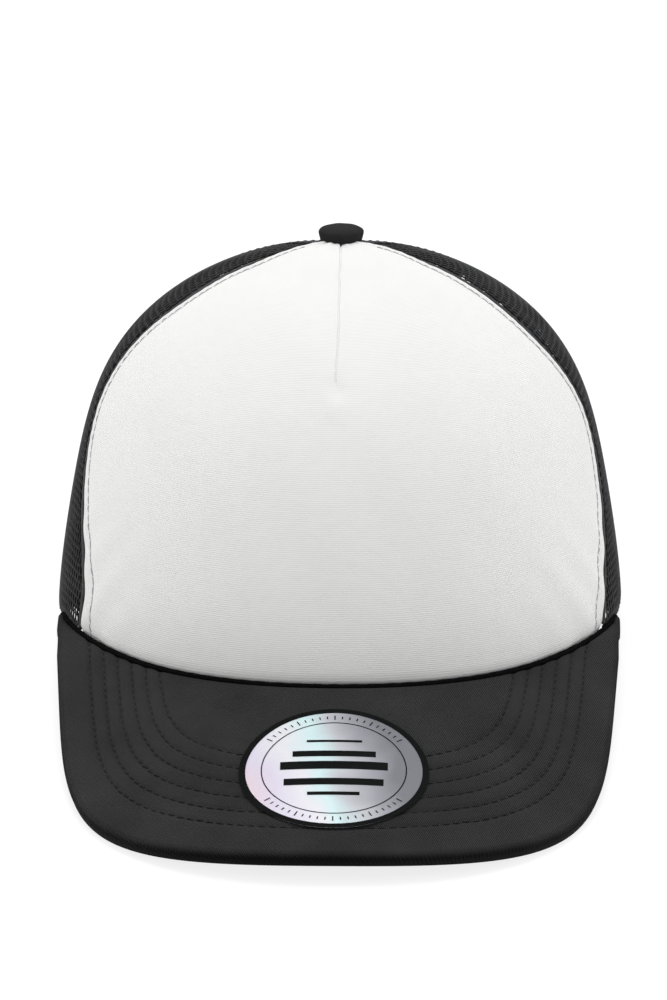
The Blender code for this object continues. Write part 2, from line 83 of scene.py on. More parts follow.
VISOR_TIP_Y, VISOR_TIP_X = 0.0300, 0.0865
SEAM_BASE, SEAM_SWELL, SEAM_RETURN = math.radians(63.5), math.radians(10.8), math.radians(10.4)
REAR_SEAM, REAR_SEAM_DRIFT = math.radians(121.0), math.radians(3.0)
KNIT, FOAM, NET, TAPE, TAPE_WIDTH, PLY = 0.0008, 0.0028, 0.0010, 0.0008, 0.012, 0.0005
HOLE_TOP, FOAM_TOP, TAPE_TOP = 0.0034, 0.0120, 0.0150
BAND_TOP, BAND_END, BAND_THICK = 0.17, math.radians(147.0), 0.0015
OPEN_HALF, OPEN_HEIGHT, OPEN_EXP = 0.050, 0.045, 2.6
BIND_WIDTH, BIND_THICK = 0.008, 0.0016
STRAP_LOW, STRAP_HIGH, STRAP_THICK = 0.018, 0.113, 0.0010
STRAP_ROOT, STRAP_AXIS, STRAP_TAB = math.radians(29.1), math.radians(29.75), math.radians(30.0)
STRAP_TAB_END, STRAP_TIP = math.radians(36.5), math.radians(-12.0)
SNAP_PITCH, SNAP_COUNT = math.radians(5.3), 7
HOLE_DEPTH, PEG_DEPTH = 0.0029, 0.0042
HOLE_RADIUS, PEG_RADIUS, PEG_HEIGHT = 0.0025, 0.0019, 0.0016
COVER, BOARD = 0.0008, 0.0022
STICKER_RADIUS, STICKER_Y, STICKER_THICK = 0.0271, 0.1279, 0.0003
BUTTON_RADIUS, BUTTON_HEIGHT = 0.0072, 0.0054
UNDER_NET = NET + PLY


# ------------------------------------------------------------ surface formulas
def smooth(v):
    v = np.clip(v, 0.0, 1.0)
    return v * v * (3.0 - 2.0 * v)


def bell(v, w):
    return np.exp(-(v / w) ** 2)


def rim_radius(th):
    s, c = np.abs(np.sin(th)), np.abs(np.cos(th))
    front = np.cos(th) > 0
    b = np.where(front, RIM_FRONT, RIM_BACK)
    n = np.where(front, RIM_EXP_FRONT, RIM_EXP_BACK)
    return ((s / RIM_HALF_WIDTH) ** n + (c / b) ** n) ** (-1.0 / n)


def visor_z(x, y):
    f = -math.tan(VISOR_DROOP) * (-y - VISOR_ROOT_Y) - (x * x - VISOR_ARCH_X ** 2) * VISOR_ARCH
    k = 0.0004
    d = np.clip((f - RIM_PLANE) / k, -60.0, 60.0)
    return np.where(d < -40, f, RIM_PLANE - k * np.log1p(np.exp(-d)))


def rim_z(th):
    r = rim_radius(th)
    x, y = r * np.sin(th), -r * np.cos(th)
    a = np.abs(th)
    dip = smooth((a - math.radians(72)) / math.radians(14)) * (1 - smooth((a - math.radians(104)) / math.radians(34)))
    dip = dip * np.where(th < 0, 0.0019, 0.0004)
    return np.where(np.cos(th) > 0, visor_z(x, y), RIM_PLANE) + GAP - dip


def exponents(th):
    c = np.cos(th)
    back, front = np.clip(1 + c, 0, 1), np.clip(c, 0, 1)
    p = PROFILE_BACK + (PROFILE_SIDE - PROFILE_BACK) * back + (PROFILE_FRONT - PROFILE_SIDE) * front
    q = RISE_BACK + (RISE_SIDE - RISE_BACK) * back + (RISE_FRONT - RISE_SIDE) * front
    lean = LEAN_SIDE + (LEAN_FRONT - LEAN_SIDE) * front
    return p, q, lean


def spread(th, t):
    p, q, lean = exponents(th)
    psi = t * math.pi / 2
    f = np.maximum(np.cos(psi), 0.0) ** (2 / p)
    g = np.maximum(np.sin(psi), 0.0) ** (2 / q)
    r = rim_radius(th) * f * (1 - lean * g)
    r = r * (1 + FULLNESS * np.sin(math.pi * t) + SHOULDER * np.sin(2 * math.pi * t)
             + CROWN_FLAT * np.sin(3 * math.pi * t))
    return r, g


def crown(th, t):
    r, g = spread(th, t)
    z = rim_z(th) * (1 - g) + CROWN_HEIGHT * g
    return np.stack([r * np.sin(th), -r * np.cos(th) + APEX_SHIFT * g * g, z], -1)


def crown_normal(th, t):
    e = 1e-3
    t0, t1 = np.clip(t - e, 0.0, 1.0), np.clip(t + e, 0.0, 1.0)
    n = np.cross(crown(th + e, t) - crown(th - e, t), crown(th, t1) - crown(th, t0))
    return n / np.maximum(np.linalg.norm(n, axis=-1, keepdims=True), 1e-12)


def crown_at(th, t, depth):
    th, t = np.asarray(th, float), np.asarray(t, float)
    return crown(th, t) - crown_normal(th, t) * np.asarray(depth)[..., None]


def front_seam(t):
    rise = np.sin(np.clip(t / 0.34, 0, 1) * math.pi / 2)
    return SEAM_BASE + SEAM_SWELL * rise - SEAM_RETURN * smooth((t - 0.36) / 0.42)


LEFT_KNOTS = ([0, .02, .06, .10, .15, .21, .31, .43, .5, 1], [0, -3.0, -4.8, -5.2, -4.0, -3.0, -1.8, -.6, 0, 0])
RIGHT_KNOTS = ([0, .1, .2, .3, .37, .43, .5, .57, .65, .72, 1], [2.3, 2.2, 2.5, 1.5, .6, -.9, -2.2, -2.7, -1.4, 0, 0])


def eased(t, knots):
    fine = np.linspace(0, 1, 201)
    v = np.interp(fine, *knots)
    for _ in range(3):
        v = np.convolve(np.pad(v, 4, mode="edge"), np.ones(9) / 9, mode="valid")
    return np.interp(t, fine, v)


def seam_left(t):
    return front_seam(t) + np.radians(eased(t, LEFT_KNOTS))


def seam_right(t):
    return front_seam(t) + np.radians(eased(t, RIGHT_KNOTS))


def seam_of(sign):
    return seam_right if sign > 0 else seam_left


def rear_seam(t):
    return REAR_SEAM + REAR_SEAM_DRIFT * t


def back_seam(t):
    return 0 * t + math.pi


def shift(th, t, dist):
    r, _ = spread(th, t)
    return dist / np.maximum(r, 0.002)


def back_angles(x, z):
    th = np.full_like(x, math.pi)
    for _ in range(30):
        _, q, _ = exponents(th)
        g = np.clip((z - RIM_PLANE - GAP) / (CROWN_HEIGHT - RIM_PLANE - GAP), 1e-6, 1)
        t = np.arcsin(g ** (q / 2)) * 2 / math.pi
        r, _ = spread(th, t)
        th = math.pi - np.arcsin(np.clip(x / r, -1, 1))
    return th, t


def height_at(th, radius):
    p, _, _ = exponents(th)
    return np.arccos(np.clip(radius / rim_radius(th), 0, 1) ** (p / 2)) * 2 / math.pi


def between(v, a, b, w, radius, gap):
    t = 1 - (1 - v) ** 1.12
    ta = t * height_at(a(t), radius)
    tb = t * height_at(b(t), radius)
    lo = a(ta) + shift(a(ta), ta, gap)
    hi = b(tb) - shift(b(tb), tb, gap)
    th = lo + (hi - lo) * w
    return th, t * height_at(th, radius)


def arch_point(a, w, h):
    c, s = np.cos(a), np.abs(np.sin(a))
    return w * np.sign(c) * np.abs(c) ** (2 / OPEN_EXP), h * s ** (2 / OPEN_EXP)


def band_depth(th):
    a = np.abs(th)
    front = KNIT + FOAM + 2 * PLY + 0.0002
    side = UNDER_NET + TAPE + PLY
    back = PEG_DEPTH + STRAP_THICK + PLY + 0.0002
    d = front + (side - front) * smooth((a - math.radians(66)) / math.radians(15))
    return d + (back - side) * smooth((a - math.radians(126)) / math.radians(13))


def visor_normal(x, y):
    e = 1e-4
    nx = -(visor_z(x + e, y) - visor_z(x - e, y)) / (2 * e)
    ny = -(visor_z(x, y + e) - visor_z(x, y - e)) / (2 * e)
    n = np.stack([nx, ny, np.ones_like(nx)], -1)
    return n / np.linalg.norm(n, axis=-1, keepdims=True)


def visor_at(x, y, depth):
    p = np.stack([x, y, visor_z(x, y)], -1)
    return p - visor_normal(x, y) * np.asarray(depth)[..., None]


def visor_outline(half, front, corner, front_exp, tip_y, n=1200):
    """Right-to-left outline in plan, of a given half width and front distance."""
    line = np.linspace(0, 1, 60)[:-1]
    sy = tip_y + (VISOR_SIDE_Y - tip_y) * line
    sx = half + (VISOR_TIP_X - VISOR_HALF_WIDTH) * (VISOR_SIDE_Y - sy) / (VISOR_SIDE_Y - VISOR_TIP_Y)
    ph = np.linspace(0, 1, n) ** 2.9 * math.pi / 2
    d = np.sin(ph) ** (2 / corner)
    fy = VISOR_SIDE_Y + (front - VISOR_SIDE_Y) * d
    fx = (half - VISOR_TAPER * (fy - VISOR_SIDE_Y)) * np.maximum(np.cos(ph), 0) ** (2 / front_exp)
    x, y = np.concatenate([sx, fx]), -np.concatenate([sy, fy])
    x, y = np.concatenate([x, -x[::-1][1:]]), np.concatenate([y, y[::-1][1:]])
    return np.stack([x, y], -1)


def resample(p, count=None, pitch=None):
    s = np.concatenate([[0], np.cumsum(np.linalg.norm(np.diff(p, axis=0), axis=1))])
    keep = np.concatenate([[True], np.diff(s) > 1e-9])
    p, s = p[keep], s[keep]
    if count is None:
        count = max(2, int(round(s[-1] / pitch)))
    k = np.linspace(0, s[-1], count + 1)
    return np.stack([np.interp(k, s, p[:, i]) for i in range(p.shape[1])], -1), s[-1]


def outer_edge(count, inset, tip_y):
    o, _ = resample(visor_outline(VISOR_HALF_WIDTH, VISOR_FRONT_Y, VISOR_CORNER, VISOR_FRONT_EXP, tip_y), count)
    t = np.gradient(o, axis=0)
    t /= np.linalg.norm(t, axis=1, keepdims=True)
    return np.stack([o[:, 0] + t[:, 1] * inset, o[:, 1] - t[:, 0] * inset], -1)


def inner_edge(count, tip_y, depth):
    th = np.linspace(0, math.radians(100), 2000)
    r = rim_radius(th)
    tip = np.interp(-tip_y, -r * np.cos(th), th)
    g = np.linspace(tip, -tip, 1601)
    p = crown_at(g, 0 * g, 0 * g + depth)[:, :2]
    return resample(p, count)[0]


# ------------------------------------------------------------ materials
def lin(v):
    v = v / 255.0
    return v / 12.92 if v <= 0.04045 else ((v + 0.055) / 1.055) ** 2.4


def rgb(*c):
    c = c if len(c) == 3 else c * 3
    return (lin(c[0]), lin(c[1]), lin(c[2]), 1.0)


class Nodes:
    """Short hand for building a material's node tree."""

    def __init__(self, name, rough=0.8, metal=0.0, sheen=0.0, sheen_rough=0.4, specular=0.5, coat=0.0):
        self.m = bpy.data.materials.new(name)
        self.m.use_nodes = True
        self.t = self.m.node_tree
        self.b = self.t.nodes["Principled BSDF"]
        self.b.inputs["Roughness"].default_value = rough
        self.b.inputs["Metallic"].default_value = metal
        self.b.inputs["Sheen Weight"].default_value = sheen
        self.b.inputs["Sheen Roughness"].default_value = sheen_rough
        self.b.inputs["Specular IOR Level"].default_value = specular
        self.b.inputs["Coat Weight"].default_value = coat
        self.xyz = {}

    def node(self, kind, **kw):
        n = self.t.nodes.new(kind)
        for k, v in kw.items():
            setattr(n, k, v)
        return n

    def link(self, a, b):
        self.t.links.new(a, b)

    def coords(self, kind="uv"):
        if kind == "uv":
            n = self.node("ShaderNodeUVMap", uv_map="cloth")
            return n.outputs["UV"]
        n = self.node("ShaderNodeTexCoord")
        return n.outputs["Object"]

    def split(self, vec):
        s = self.node("ShaderNodeSeparateXYZ")
        self.link(vec, s.inputs[0])
        return s.outputs[0], s.outputs[1], s.outputs[2]

    def math(self, op, a, b=None, c=None, clamp=False):
        n = self.node("ShaderNodeMath", operation=op, use_clamp=clamp)
        for i, v in enumerate((a, b, c)):
            if v is None:
                continue
            if hasattr(v, "is_linked"):
                self.link(v, n.inputs[i])
            else:
                n.inputs[i].default_value = v
        return n.outputs[0]

    def noise(self, vec, scale, detail=2.0, rough=0.5):
        n = self.node("ShaderNodeTexNoise")
        self.link(vec, n.inputs["Vector"])
        n.inputs["Scale"].default_value = scale
        n.inputs["Detail"].default_value = detail
        n.inputs["Roughness"].default_value = rough
        return n.outputs["Fac"]

    def voronoi(self, vec, scale, feature="F1"):
        n = self.node("ShaderNodeTexVoronoi", feature=feature)
        self.link(vec, n.inputs["Vector"])
        n.inputs["Scale"].default_value = scale
        return n.outputs["Distance"]

    def ramp(self, fac, stops):
        n = self.node("ShaderNodeValToRGB")
        self.link(fac, n.inputs[0])
        el = n.color_ramp.elements
        while len(el) < len(stops):
            el.new(0.5)
        for e, (p, c) in zip(el, stops):
            e.position = p
            e.color = c
        return n.outputs[0]

    def mix(self, fac, a, b):
        n = self.node("ShaderNodeMix", data_type="RGBA")
        if hasattr(fac, "is_linked"):
            self.link(fac, n.inputs[0])
        else:
            n.inputs[0].default_value = fac
        for i, v in ((6, a), (7, b)):
            if hasattr(v, "is_linked"):
                self.link(v, n.inputs[i])
            else:
                n.inputs[i].default_value = v
        return n.outputs[2]

    def bump(self, height, strength, distance, normal=None):
        n = self.node("ShaderNodeBump")
        n.inputs["Strength"].default_value = strength
        n.inputs["Distance"].default_value = distance
        self.link(height, n.inputs["Height"])
        if normal is not None:
            self.link(normal, n.inputs["Normal"])
        return n.outputs["Normal"]

    def done(self, color=None, normal=None, rough=None):
        if color is not None:
            self.link(color, self.b.inputs["Base Color"])
        if normal is not None:
            self.link(normal, self.b.inputs["Normal"])
        if rough is not None:
            self.link(rough, self.b.inputs["Roughness"])
        return self.m


def knit_material(name, light, dark):
    """Fine weft knit: rows of small loops across, wales up the panel."""
    k = Nodes(name, rough=0.95, sheen=0.08, specular=0.2)
    uv = k.coords()
    u, v, _ = k.split(uv)
    jit = k.noise(uv, 900.0, 1.0)
    wale = k.math("SINE", k.math("MULTIPLY_ADD", u, 2 * math.pi / 0.00048, k.math("MULTIPLY", jit, 2.0)))
    course = k.math("SINE", k.math("MULTIPLY_ADD", v, 2 * math.pi / 0.00062, k.math("MULTIPLY", jit, 2.6)))
    loops = k.math("MULTIPLY_ADD", k.math("ABSOLUTE", wale), 0.35, k.math("MULTIPLY", course, 0.65))
    patch = k.noise(uv, 260.0, 3.0, 0.6)
    h = k.math("MULTIPLY", loops, k.math("MULTIPLY_ADD", patch, 1.4, 0.1))
    cloud = k.noise(uv, 30.0, 3.0)
    shade = k.math("MULTIPLY_ADD", h, 0.48, k.math("MULTIPLY_ADD", cloud, 0.35, 0.42), clamp=True)
    col = k.ramp(shade, [(0.0, dark), (0.75, light)])
    nrm = k.bump(h, 0.42, 0.00012)
    return k.done(col, nrm)


def twill_material(name, light, dark, rib=0.0007, sheen=0.04, angle=1.0, strength=0.5, rough=0.9, fuzz=0.55, ribs=0.16, edge_shade_attr=None):
    """Diagonal ribs with the speckle of spun yarn."""
    k = Nodes(name, rough=rough, sheen=sheen, sheen_rough=0.45, specular=0.08)
    uv = k.coords()
    u, v, _ = k.split(uv)
    jit = k.noise(uv, 700.0, 2.0, 0.6)
    diag = k.math("ADD", k.math("MULTIPLY", u, angle), v)
    rib_n = k.math("SINE", k.math("MULTIPLY_ADD", diag, 2 * math.pi / rib, k.math("MULTIPLY", jit, 2.2)))
    cross = k.math("SINE", k.math("MULTIPLY", k.math("SUBTRACT", u, v), 2 * math.pi / (rib * 0.62)))
    weave = k.math("MULTIPLY_ADD", cross, 0.3, k.math("MULTIPLY", rib_n, 0.7))
    speck = k.noise(uv, 2600.0, 2.0, 0.7)
    cloud = k.noise(uv, 45.0, 3.0, 0.55)
    shade = k.math("MULTIPLY_ADD", weave, ribs, k.math("MULTIPLY_ADD", speck, fuzz, k.math("MULTIPLY_ADD", cloud, 0.5, -0.05)), clamp=True)
    # painted shade: an optional point attribute darkens the colour, down to 0.3 of the dark tone
    if edge_shade_attr is not None:
        at = k.node("ShaderNodeAttribute")
        at.attribute_name = edge_shade_attr
        shade = k.math("SUBTRACT", shade, k.math("MULTIPLY", at.outputs["Fac"], 0.75), clamp=True)
        col = k.ramp(shade, [(0.0, [c * 0.30 for c in dark[:3]] + [1.0]), (0.12, dark), (0.88, light)])
    else:
        col = k.ramp(shade, [(0.12, dark), (0.88, light)])
    nrm = k.bump(k.math("MULTIPLY_ADD", speck, 0.5, weave), strength, 0.00012)
    return k.done(col, nrm)


def yarn_material(name, light, dark, rough=0.6, scale=1500.0, sheen=0.03, specular=0.12, hole_edge_shade=None):
    k = Nodes(name, rough=rough, sheen=sheen, specular=specular)
    pos = k.coords("object")
    n1 = k.noise(pos, scale, 2.0, 0.6)
    n2 = k.noise(pos, 90.0, 2.0, 0.5)
    shade = k.math("MULTIPLY_ADD", n1, 0.6, k.math("MULTIPLY", n2, 0.4), clamp=True)
    # painted shade: the attribute darkens the yarn colour towards each hole's edge
    if hole_edge_shade is not None:
        at = k.node("ShaderNodeAttribute")
        at.attribute_name = hole_edge_shade
        shade = k.math("SUBTRACT", shade, k.math("MULTIPLY", at.outputs["Fac"], 0.55), clamp=True)
    col = k.ramp(shade, [(0.25 if hole_edge_shade is None else 0.05, dark), (0.75 if hole_edge_shade is None else 0.62, light)])
    nrm = k.bump(n1, 0.35, 0.00008)
    return k.done(col, nrm)


def foam_material(name):
    k = Nodes(name, rough=0.97, specular=0.15)
    pos = k.coords("object")
    cells = k.voronoi(pos, 1400.0)
    big = k.noise(pos, 60.0, 3.0)
    col = k.ramp(k.math("MULTIPLY_ADD", cells, 0.7, k.math("MULTIPLY", big, 0.5)), [(0.15, rgb(196, 193, 184)), (0.75, rgb(233, 231, 224))])
    return k.done(col, k.bump(cells, 0.7, 0.0003))


def plastic_material(name, light, dark, rough=0.42):
    k = Nodes(name, rough=rough, specular=0.45)
    pos = k.coords("object")
    grain = k.noise(pos, 3200.0, 2.0, 0.6)
    blotch = k.noise(pos, 70.0, 3.0)
    col = k.ramp(blotch, [(0.3, dark), (0.7, light)])
    r = k.math("MULTIPLY_ADD", grain, 0.25, rough - 0.12)
    return k.done(col, k.bump(grain, 0.18, 0.00006), r)


def steel_material(name, light, dark, rough=0.3):
    k = Nodes(name, rough=rough, metal=1.0)
    pos = k.coords("object")
    x, y, z = k.split(pos)
    c = k.node("ShaderNodeCombineXYZ")
    k.link(k.math("MULTIPLY", x, 0.08), c.inputs[0])
    k.link(y, c.inputs[1])
    k.link(z, c.inputs[2])
    brush = k.noise(c.outputs[0], 4200.0, 2.0, 0.6)
    spot = k.noise(pos, 500.0, 3.0)
    col = k.ramp(spot, [(0.3, dark), (0.7, light)])
    r = k.math("MULTIPLY_ADD", brush, 0.25, rough - 0.1)
    return k.done(col, k.bump(brush, 0.15, 0.00003), r)


def foil_material(name):
    """Silver holographic film: soft pastel bands over a satin metal, darkening to grey towards one side as painted
    reflection.
    """
    k = Nodes(name, rough=0.42, metal=0.25, specular=0.5, coat=0.0)
    uv = k.coords()
    u, v, _ = k.split(uv)
    warp = k.noise(uv, 42.0, 2.0, 0.5)
    f = k.math("MULTIPLY_ADD", u, 15.5, k.math("MULTIPLY_ADD", v, 4.0, k.math("MULTIPLY_ADD", warp, 0.30, 0.37)), clamp=True)
    # painted reflection: the ramp's last stops run down to dark grey across the disc
    col = k.ramp(f, [(0.0, rgb(206, 202, 205)), (0.09, rgb(219, 201, 212)), (0.20, rgb(211, 204, 221)), (0.36, rgb(220, 220, 226)),
                     (0.46, rgb(199, 224, 226)), (0.57, rgb(182, 184, 190)), (0.68, rgb(146, 146, 154)), (0.80, rgb(112, 112, 120))])
    streak = k.noise(uv, 900.0, 2.0, 0.5)
    r = k.math("MULTIPLY_ADD", streak, 0.10, 0.38)
    return k.done(col, k.bump(streak, 0.05, 0.00002), r)


CHAR_L, CHAR_D = rgb(60, 60, 60), rgb(30, 30, 30)
M_KNIT = knit_material("knit_white", rgb(246, 246, 245), rgb(222, 222, 222))
# the visor top's turned lip is darkened through a point attribute as painted shade
M_TWILL = twill_material("twill_charcoal", rgb(67, 67, 67), rgb(16, 16, 16), rib=0.00138, angle=-2.6, strength=1.0, fuzz=0.66, ribs=0.36, edge_shade_attr="lip_painted_shade")
M_TWILL_UNDER = twill_material("twill_charcoal_under", rgb(58, 58, 60), rgb(32, 32, 34))
M_BUTTON = twill_material("twill_button", rgb(54, 54, 54), rgb(22, 22, 22), rib=0.0006, strength=0.8, ribs=0.25)
M_BAND = twill_material("sweatband_cotton", rgb(52, 52, 54), rgb(26, 26, 28), rib=0.0009, strength=0.7)
M_BIND = twill_material("binding_twill", rgb(48, 48, 50), rgb(22, 22, 24), rib=0.0007, strength=0.7)
M_TAPE = twill_material("tape_weave", rgb(50, 50, 52), rgb(20, 20, 22), rib=0.0011, angle=0.6, strength=0.8)
# net yarn, darkened towards the holes as painted shade
M_NET = yarn_material("net_yarn", rgb(84, 84, 86), rgb(20, 20, 21), rough=0.55, hole_edge_shade="hole_edge_shade")
M_THREAD_GREY = yarn_material("thread_grey", rgb(190, 190, 190), rgb(140, 140, 142), rough=0.6, scale=3000.0)
M_THREAD_DARK = yarn_material("thread_dark", rgb(46, 46, 48), rgb(18, 18, 20), rough=0.6, scale=3000.0)
# near-black seam colour: painted shade of the crevice under the crown
M_SEAM_SHADE = yarn_material("seam_black_painted_shade", rgb(16, 16, 17), rgb(7, 7, 8), rough=0.8, sheen=0.0, specular=0.03)
M_FOAM = foam_material("foam_open_cell")
M_PLASTIC = plastic_material("strap_plastic", rgb(44, 44, 46), rgb(32, 32, 34))
M_BOARD = plastic_material("board_plastic", rgb(66, 66, 68), rgb(50, 50, 52), 0.5)
M_STEEL = steel_material("tinned_steel", rgb(196, 197, 199), rgb(168, 169, 172))
M_FOIL = foil_material("holographic_foil")
M_INK = yarn_material("black_print", rgb(17, 20, 20), rgb(9, 11, 11), 0.6, 400.0, 0.0, 0.04)
M_LABEL = twill_material("label_satin", rgb(236, 236, 234), rgb(206, 206, 204), rib=0.0005, sheen=0.1, strength=0.3, rough=0.55, fuzz=0.3)


# ------------------------------------------------------------ mesh builders
def make(name, verts, faces, mat, body="cap", uv=None, shade=True):
    """Object from cap-frame vertices; faces is a list of index arrays."""
    me = bpy.data.meshes.new(name)
    v = world(verts)
    loops = np.concatenate([f.reshape(-1) for f in faces])
    sizes = np.concatenate([np.full(len(f), f.shape[1]) for f in faces])
    me.vertices.add(len(v))
    me.vertices.foreach_set("co", v.reshape(-1).astype(np.float32))
    me.loops.add(len(loops))
    me.loops.foreach_set("vertex_index", loops.astype(np.int32))
    me.polygons.add(len(sizes))
    me.polygons.foreach_set("loop_start", np.concatenate([[0], np.cumsum(sizes)[:-1]]).astype(np.int32))
    me.update(calc_edges=True)
    if uv is not None:
        layer = me.uv_layers.new(name="cloth")
        layer.data.foreach_set("uv", np.asarray(uv, np.float32)[loops].reshape(-1))
    me.polygons.foreach_set("use_smooth", np.full(len(sizes), bool(shade)))
    me.validate()
    me.materials.append(mat)
    ob = bpy.data.objects.new(name, me)
    bpy.context.scene.collection.objects.link(ob)
    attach(ob, body)
    return ob


def grid_faces(nu, nv, base=0, flip=False):
    """Quads of a (nv+1) x (nu+1) grid of points, row by row."""
    i, j = np.meshgrid(np.arange(nu), np.arange(nv))
    a = (j * (nu + 1) + i).reshape(-1) + base
    q = np.stack([a, a + 1, a + nu + 2, a + nu + 1], -1)
    return q[:, ::-1] if flip else q


def slab(name, top, bottom, mat, uv, body="cap"):
    """Closed sheet between two point grids of the same size, outside first."""
    nv, nu = top.shape[0] - 1, top.shape[1] - 1
    n = (nu + 1) * (nv + 1)
    verts = np.concatenate([top.reshape(-1, 3), bottom.reshape(-1, 3)])
    loop = np.concatenate([np.arange(nu + 1), (np.arange(1, nv + 1)) * (nu + 1) + nu,
                           nv * (nu + 1) + np.arange(nu - 1, -1, -1), np.arange(nv - 1, 0, -1) * (nu + 1)])
    nxt = np.roll(loop, -1)
    wall = np.stack([loop, loop + n, nxt + n, nxt], -1)
    faces = [grid_faces(nu, nv), grid_faces(nu, nv, n, True), wall]
    return make(name, verts, faces, mat, body, np.concatenate([uv.reshape(-1, 2)] * 2))


def row_lengths(p):
    """Arc length along each row of a point grid, zero in the middle."""
    d = np.linalg.norm(np.diff(p, axis=1), axis=2)
    s = np.concatenate([np.zeros((p.shape[0], 1)), np.cumsum(d, axis=1)], axis=1)
    return s - s[:, -1:] / 2


def cloth_uv(p):
    """UV in metres: along the rows, and along the middle column."""
    u = row_lengths(p)
    mid = p[:, p.shape[1] // 2]
    s = np.concatenate([[0], np.cumsum(np.linalg.norm(np.diff(mid, axis=0), axis=1))])
    return np.stack([u, np.repeat(s[:, None], p.shape[1], axis=1)], -1)


def tube(path, normals, radius, sides=8):
    """Vertices and faces of a round tube along a path."""
    t = np.gradient(path, axis=0)
    t /= np.linalg.norm(t, axis=1, keepdims=True)
    b = np.cross(t, normals)
    b /= np.linalg.norm(b, axis=1, keepdims=True)
    n = np.cross(b, t)
    a = np.arange(sides) * 2 * math.pi / sides
    r = np.asarray(radius) if hasattr(radius, "__len__") else np.full(len(path), radius)
    v = path[:, None] + (n[:, None] * np.cos(a)[None, :, None] + b[:, None] * np.sin(a)[None, :, None]) * r[:, None, None]
    m = len(path)
    i, j = np.meshgrid(np.arange(sides), np.arange(m - 1))
    i, j = i.reshape(-1), j.reshape(-1)
    k = (i + 1) % sides
    q = np.stack([j * sides + i, (j + 1) * sides + i, (j + 1) * sides + k, j * sides + k], -1)
    caps = np.stack([np.arange(sides), (m - 1) * sides + np.arange(sides)[::-1]])
    return v.reshape(-1, 3), q, caps


def tubes(name, runs, mat, sides=8, body="cap"):
    verts, quads, caps, base = [], [], [], 0
    for path, normals, radius in runs:
        v, q, c = tube(path, normals, radius, sides)
        verts.append(v)
        quads.append(q + base)
        caps.append(c + base)
        base += len(v)
    return make(name, np.concatenate(verts), [np.concatenate(quads), np.concatenate(caps)], mat, body)


STITCH_X = np.array([-1.0, -0.82, -0.4, 0.0, 0.4, 0.82, 1.0])
STITCH_Z = np.array([-0.9, -0.1, 0.55, 0.75, 0.55, -0.1, -0.9])
STITCH_R = np.array([0.45, 0.85, 1.0, 1.0, 1.0, 0.85, 0.45])


def stitches(name, lines, mat, pitch=0.0029, fill=0.82, radius=0.00022, sides=6, body="cap", lift=0.0, wobble=0.00012, seed=1):
    """Runs of thread dashes lying on a surface. lines are (points, normals)."""
    rng = np.random.default_rng(seed)
    verts, quads, caps, base = [], [], [], 0
    ring = np.arange(sides) * 2 * math.pi / sides
    for pts, nrm in lines:
        s = np.concatenate([[0], np.cumsum(np.linalg.norm(np.diff(pts, axis=0), axis=1))])
        n = int(s[-1] / pitch)
        if n < 1:
            continue
        half = pitch * fill / 2
        mid = (np.arange(n) + 0.5) * s[-1] / n
        k = mid[:, None] + STITCH_X[None] * half
        at = np.stack([np.interp(k, s, pts[:, i]) for i in range(3)], -1)
        no = np.stack([np.interp(k, s, nrm[:, i]) for i in range(3)], -1)
        no /= np.linalg.norm(no, axis=-1, keepdims=True)
        tan = at[:, -1] - at[:, 0]
        tan /= np.linalg.norm(tan, axis=1, keepdims=True)
        side = np.cross(tan[:, None], no)
        slant = rng.normal(0, wobble, (n, 1, 1)) * STITCH_X[None, :, None] + rng.normal(0, wobble * 0.6, (n, 1, 1))
        c = at + no * (STITCH_Z * radius + lift)[None, :, None] + side * slant
        r = (STITCH_R * radius)[None, :, None, None]
        v = c[:, :, None] + (no[:, :, None] * np.cos(ring)[None, None, :, None] + side[:, :, None] * np.sin(ring)[None, None, :, None]) * r
        m = len(STITCH_X)
        i, j = np.meshgrid(np.arange(sides), np.arange(m - 1))
        i, j = i.reshape(-1), j.reshape(-1)
        kk = (i + 1) % sides
        q = np.stack([j * sides + i, (j + 1) * sides + i, (j + 1) * sides + kk, j * sides + kk], -1)
        cap = np.stack([np.arange(sides), (m - 1) * sides + np.arange(sides)[::-1]])
        off = (np.arange(n) * m * sides)[:, None, None] + base
        verts.append(v.reshape(-1, 3))
        quads.append((q[None] + off).reshape(-1, 4))
        caps.append((cap[None] + off).reshape(-1, sides))
        base += n * m * sides
    return make(name, np.concatenate(verts), [np.concatenate(quads), np.concatenate(caps)], mat, body)


# ------------------------------------------------------------ seam measures
def seam_distance(th, t):
    """Distance along the crown from a point of the front to its seam."""
    r, _ = spread(th, t)
    return (np.where(th < 0, seam_left(t), seam_right(t)) - np.abs(th)) * r


def stitch_inset(t):
    """The topstitch runs further from the seam low down, where the panel is full."""
    return 0.0030 + 0.0034 * (1 - smooth(t / 0.42))


def dart_line(th, t):
    """Sideways distance from the middle of the front."""
    r, _ = spread(th, t)
    return th * r


# ------------------------------------------------------------ camera
ELEV, DIST, ORBIT = math.radians(17.95), 1.40, math.radians(0.8)
AIM = np.array([0.0, -0.0123, 0.03])
back = np.array([math.sin(ORBIT) * math.cos(ELEV), -math.cos(ORBIT) * math.cos(ELEV), math.sin(ELEV)])
right = np.array([math.cos(ORBIT), math.sin(ORBIT), 0.0])
up = np.cross(back, right)
eye = world(AIM + back * DIST)
axes = [world_dir(a) for a in (right, up, back)]
cam_data = bpy.data.cameras.new("camera")
cam_data.sensor_width = 36.0
cam_data.lens = 4529.5 * 36.0 / 1000.0
cam_data.shift_x = -0.006
cam_data.shift_y = 0.00828
cam_data.clip_start, cam_data.clip_end = 0.05, 20.0
cam = bpy.data.objects.new("camera", cam_data)
bpy.context.scene.collection.objects.link(cam)
cam.matrix_world = Matrix([[*[float(a[i]) for a in axes], float(eye[i])] for i in range(3)] + [[0, 0, 0, 1]])
bpy.context.scene.camera = cam


# ------------------------------------------------------------ front knit panel
DART_END = 0.535


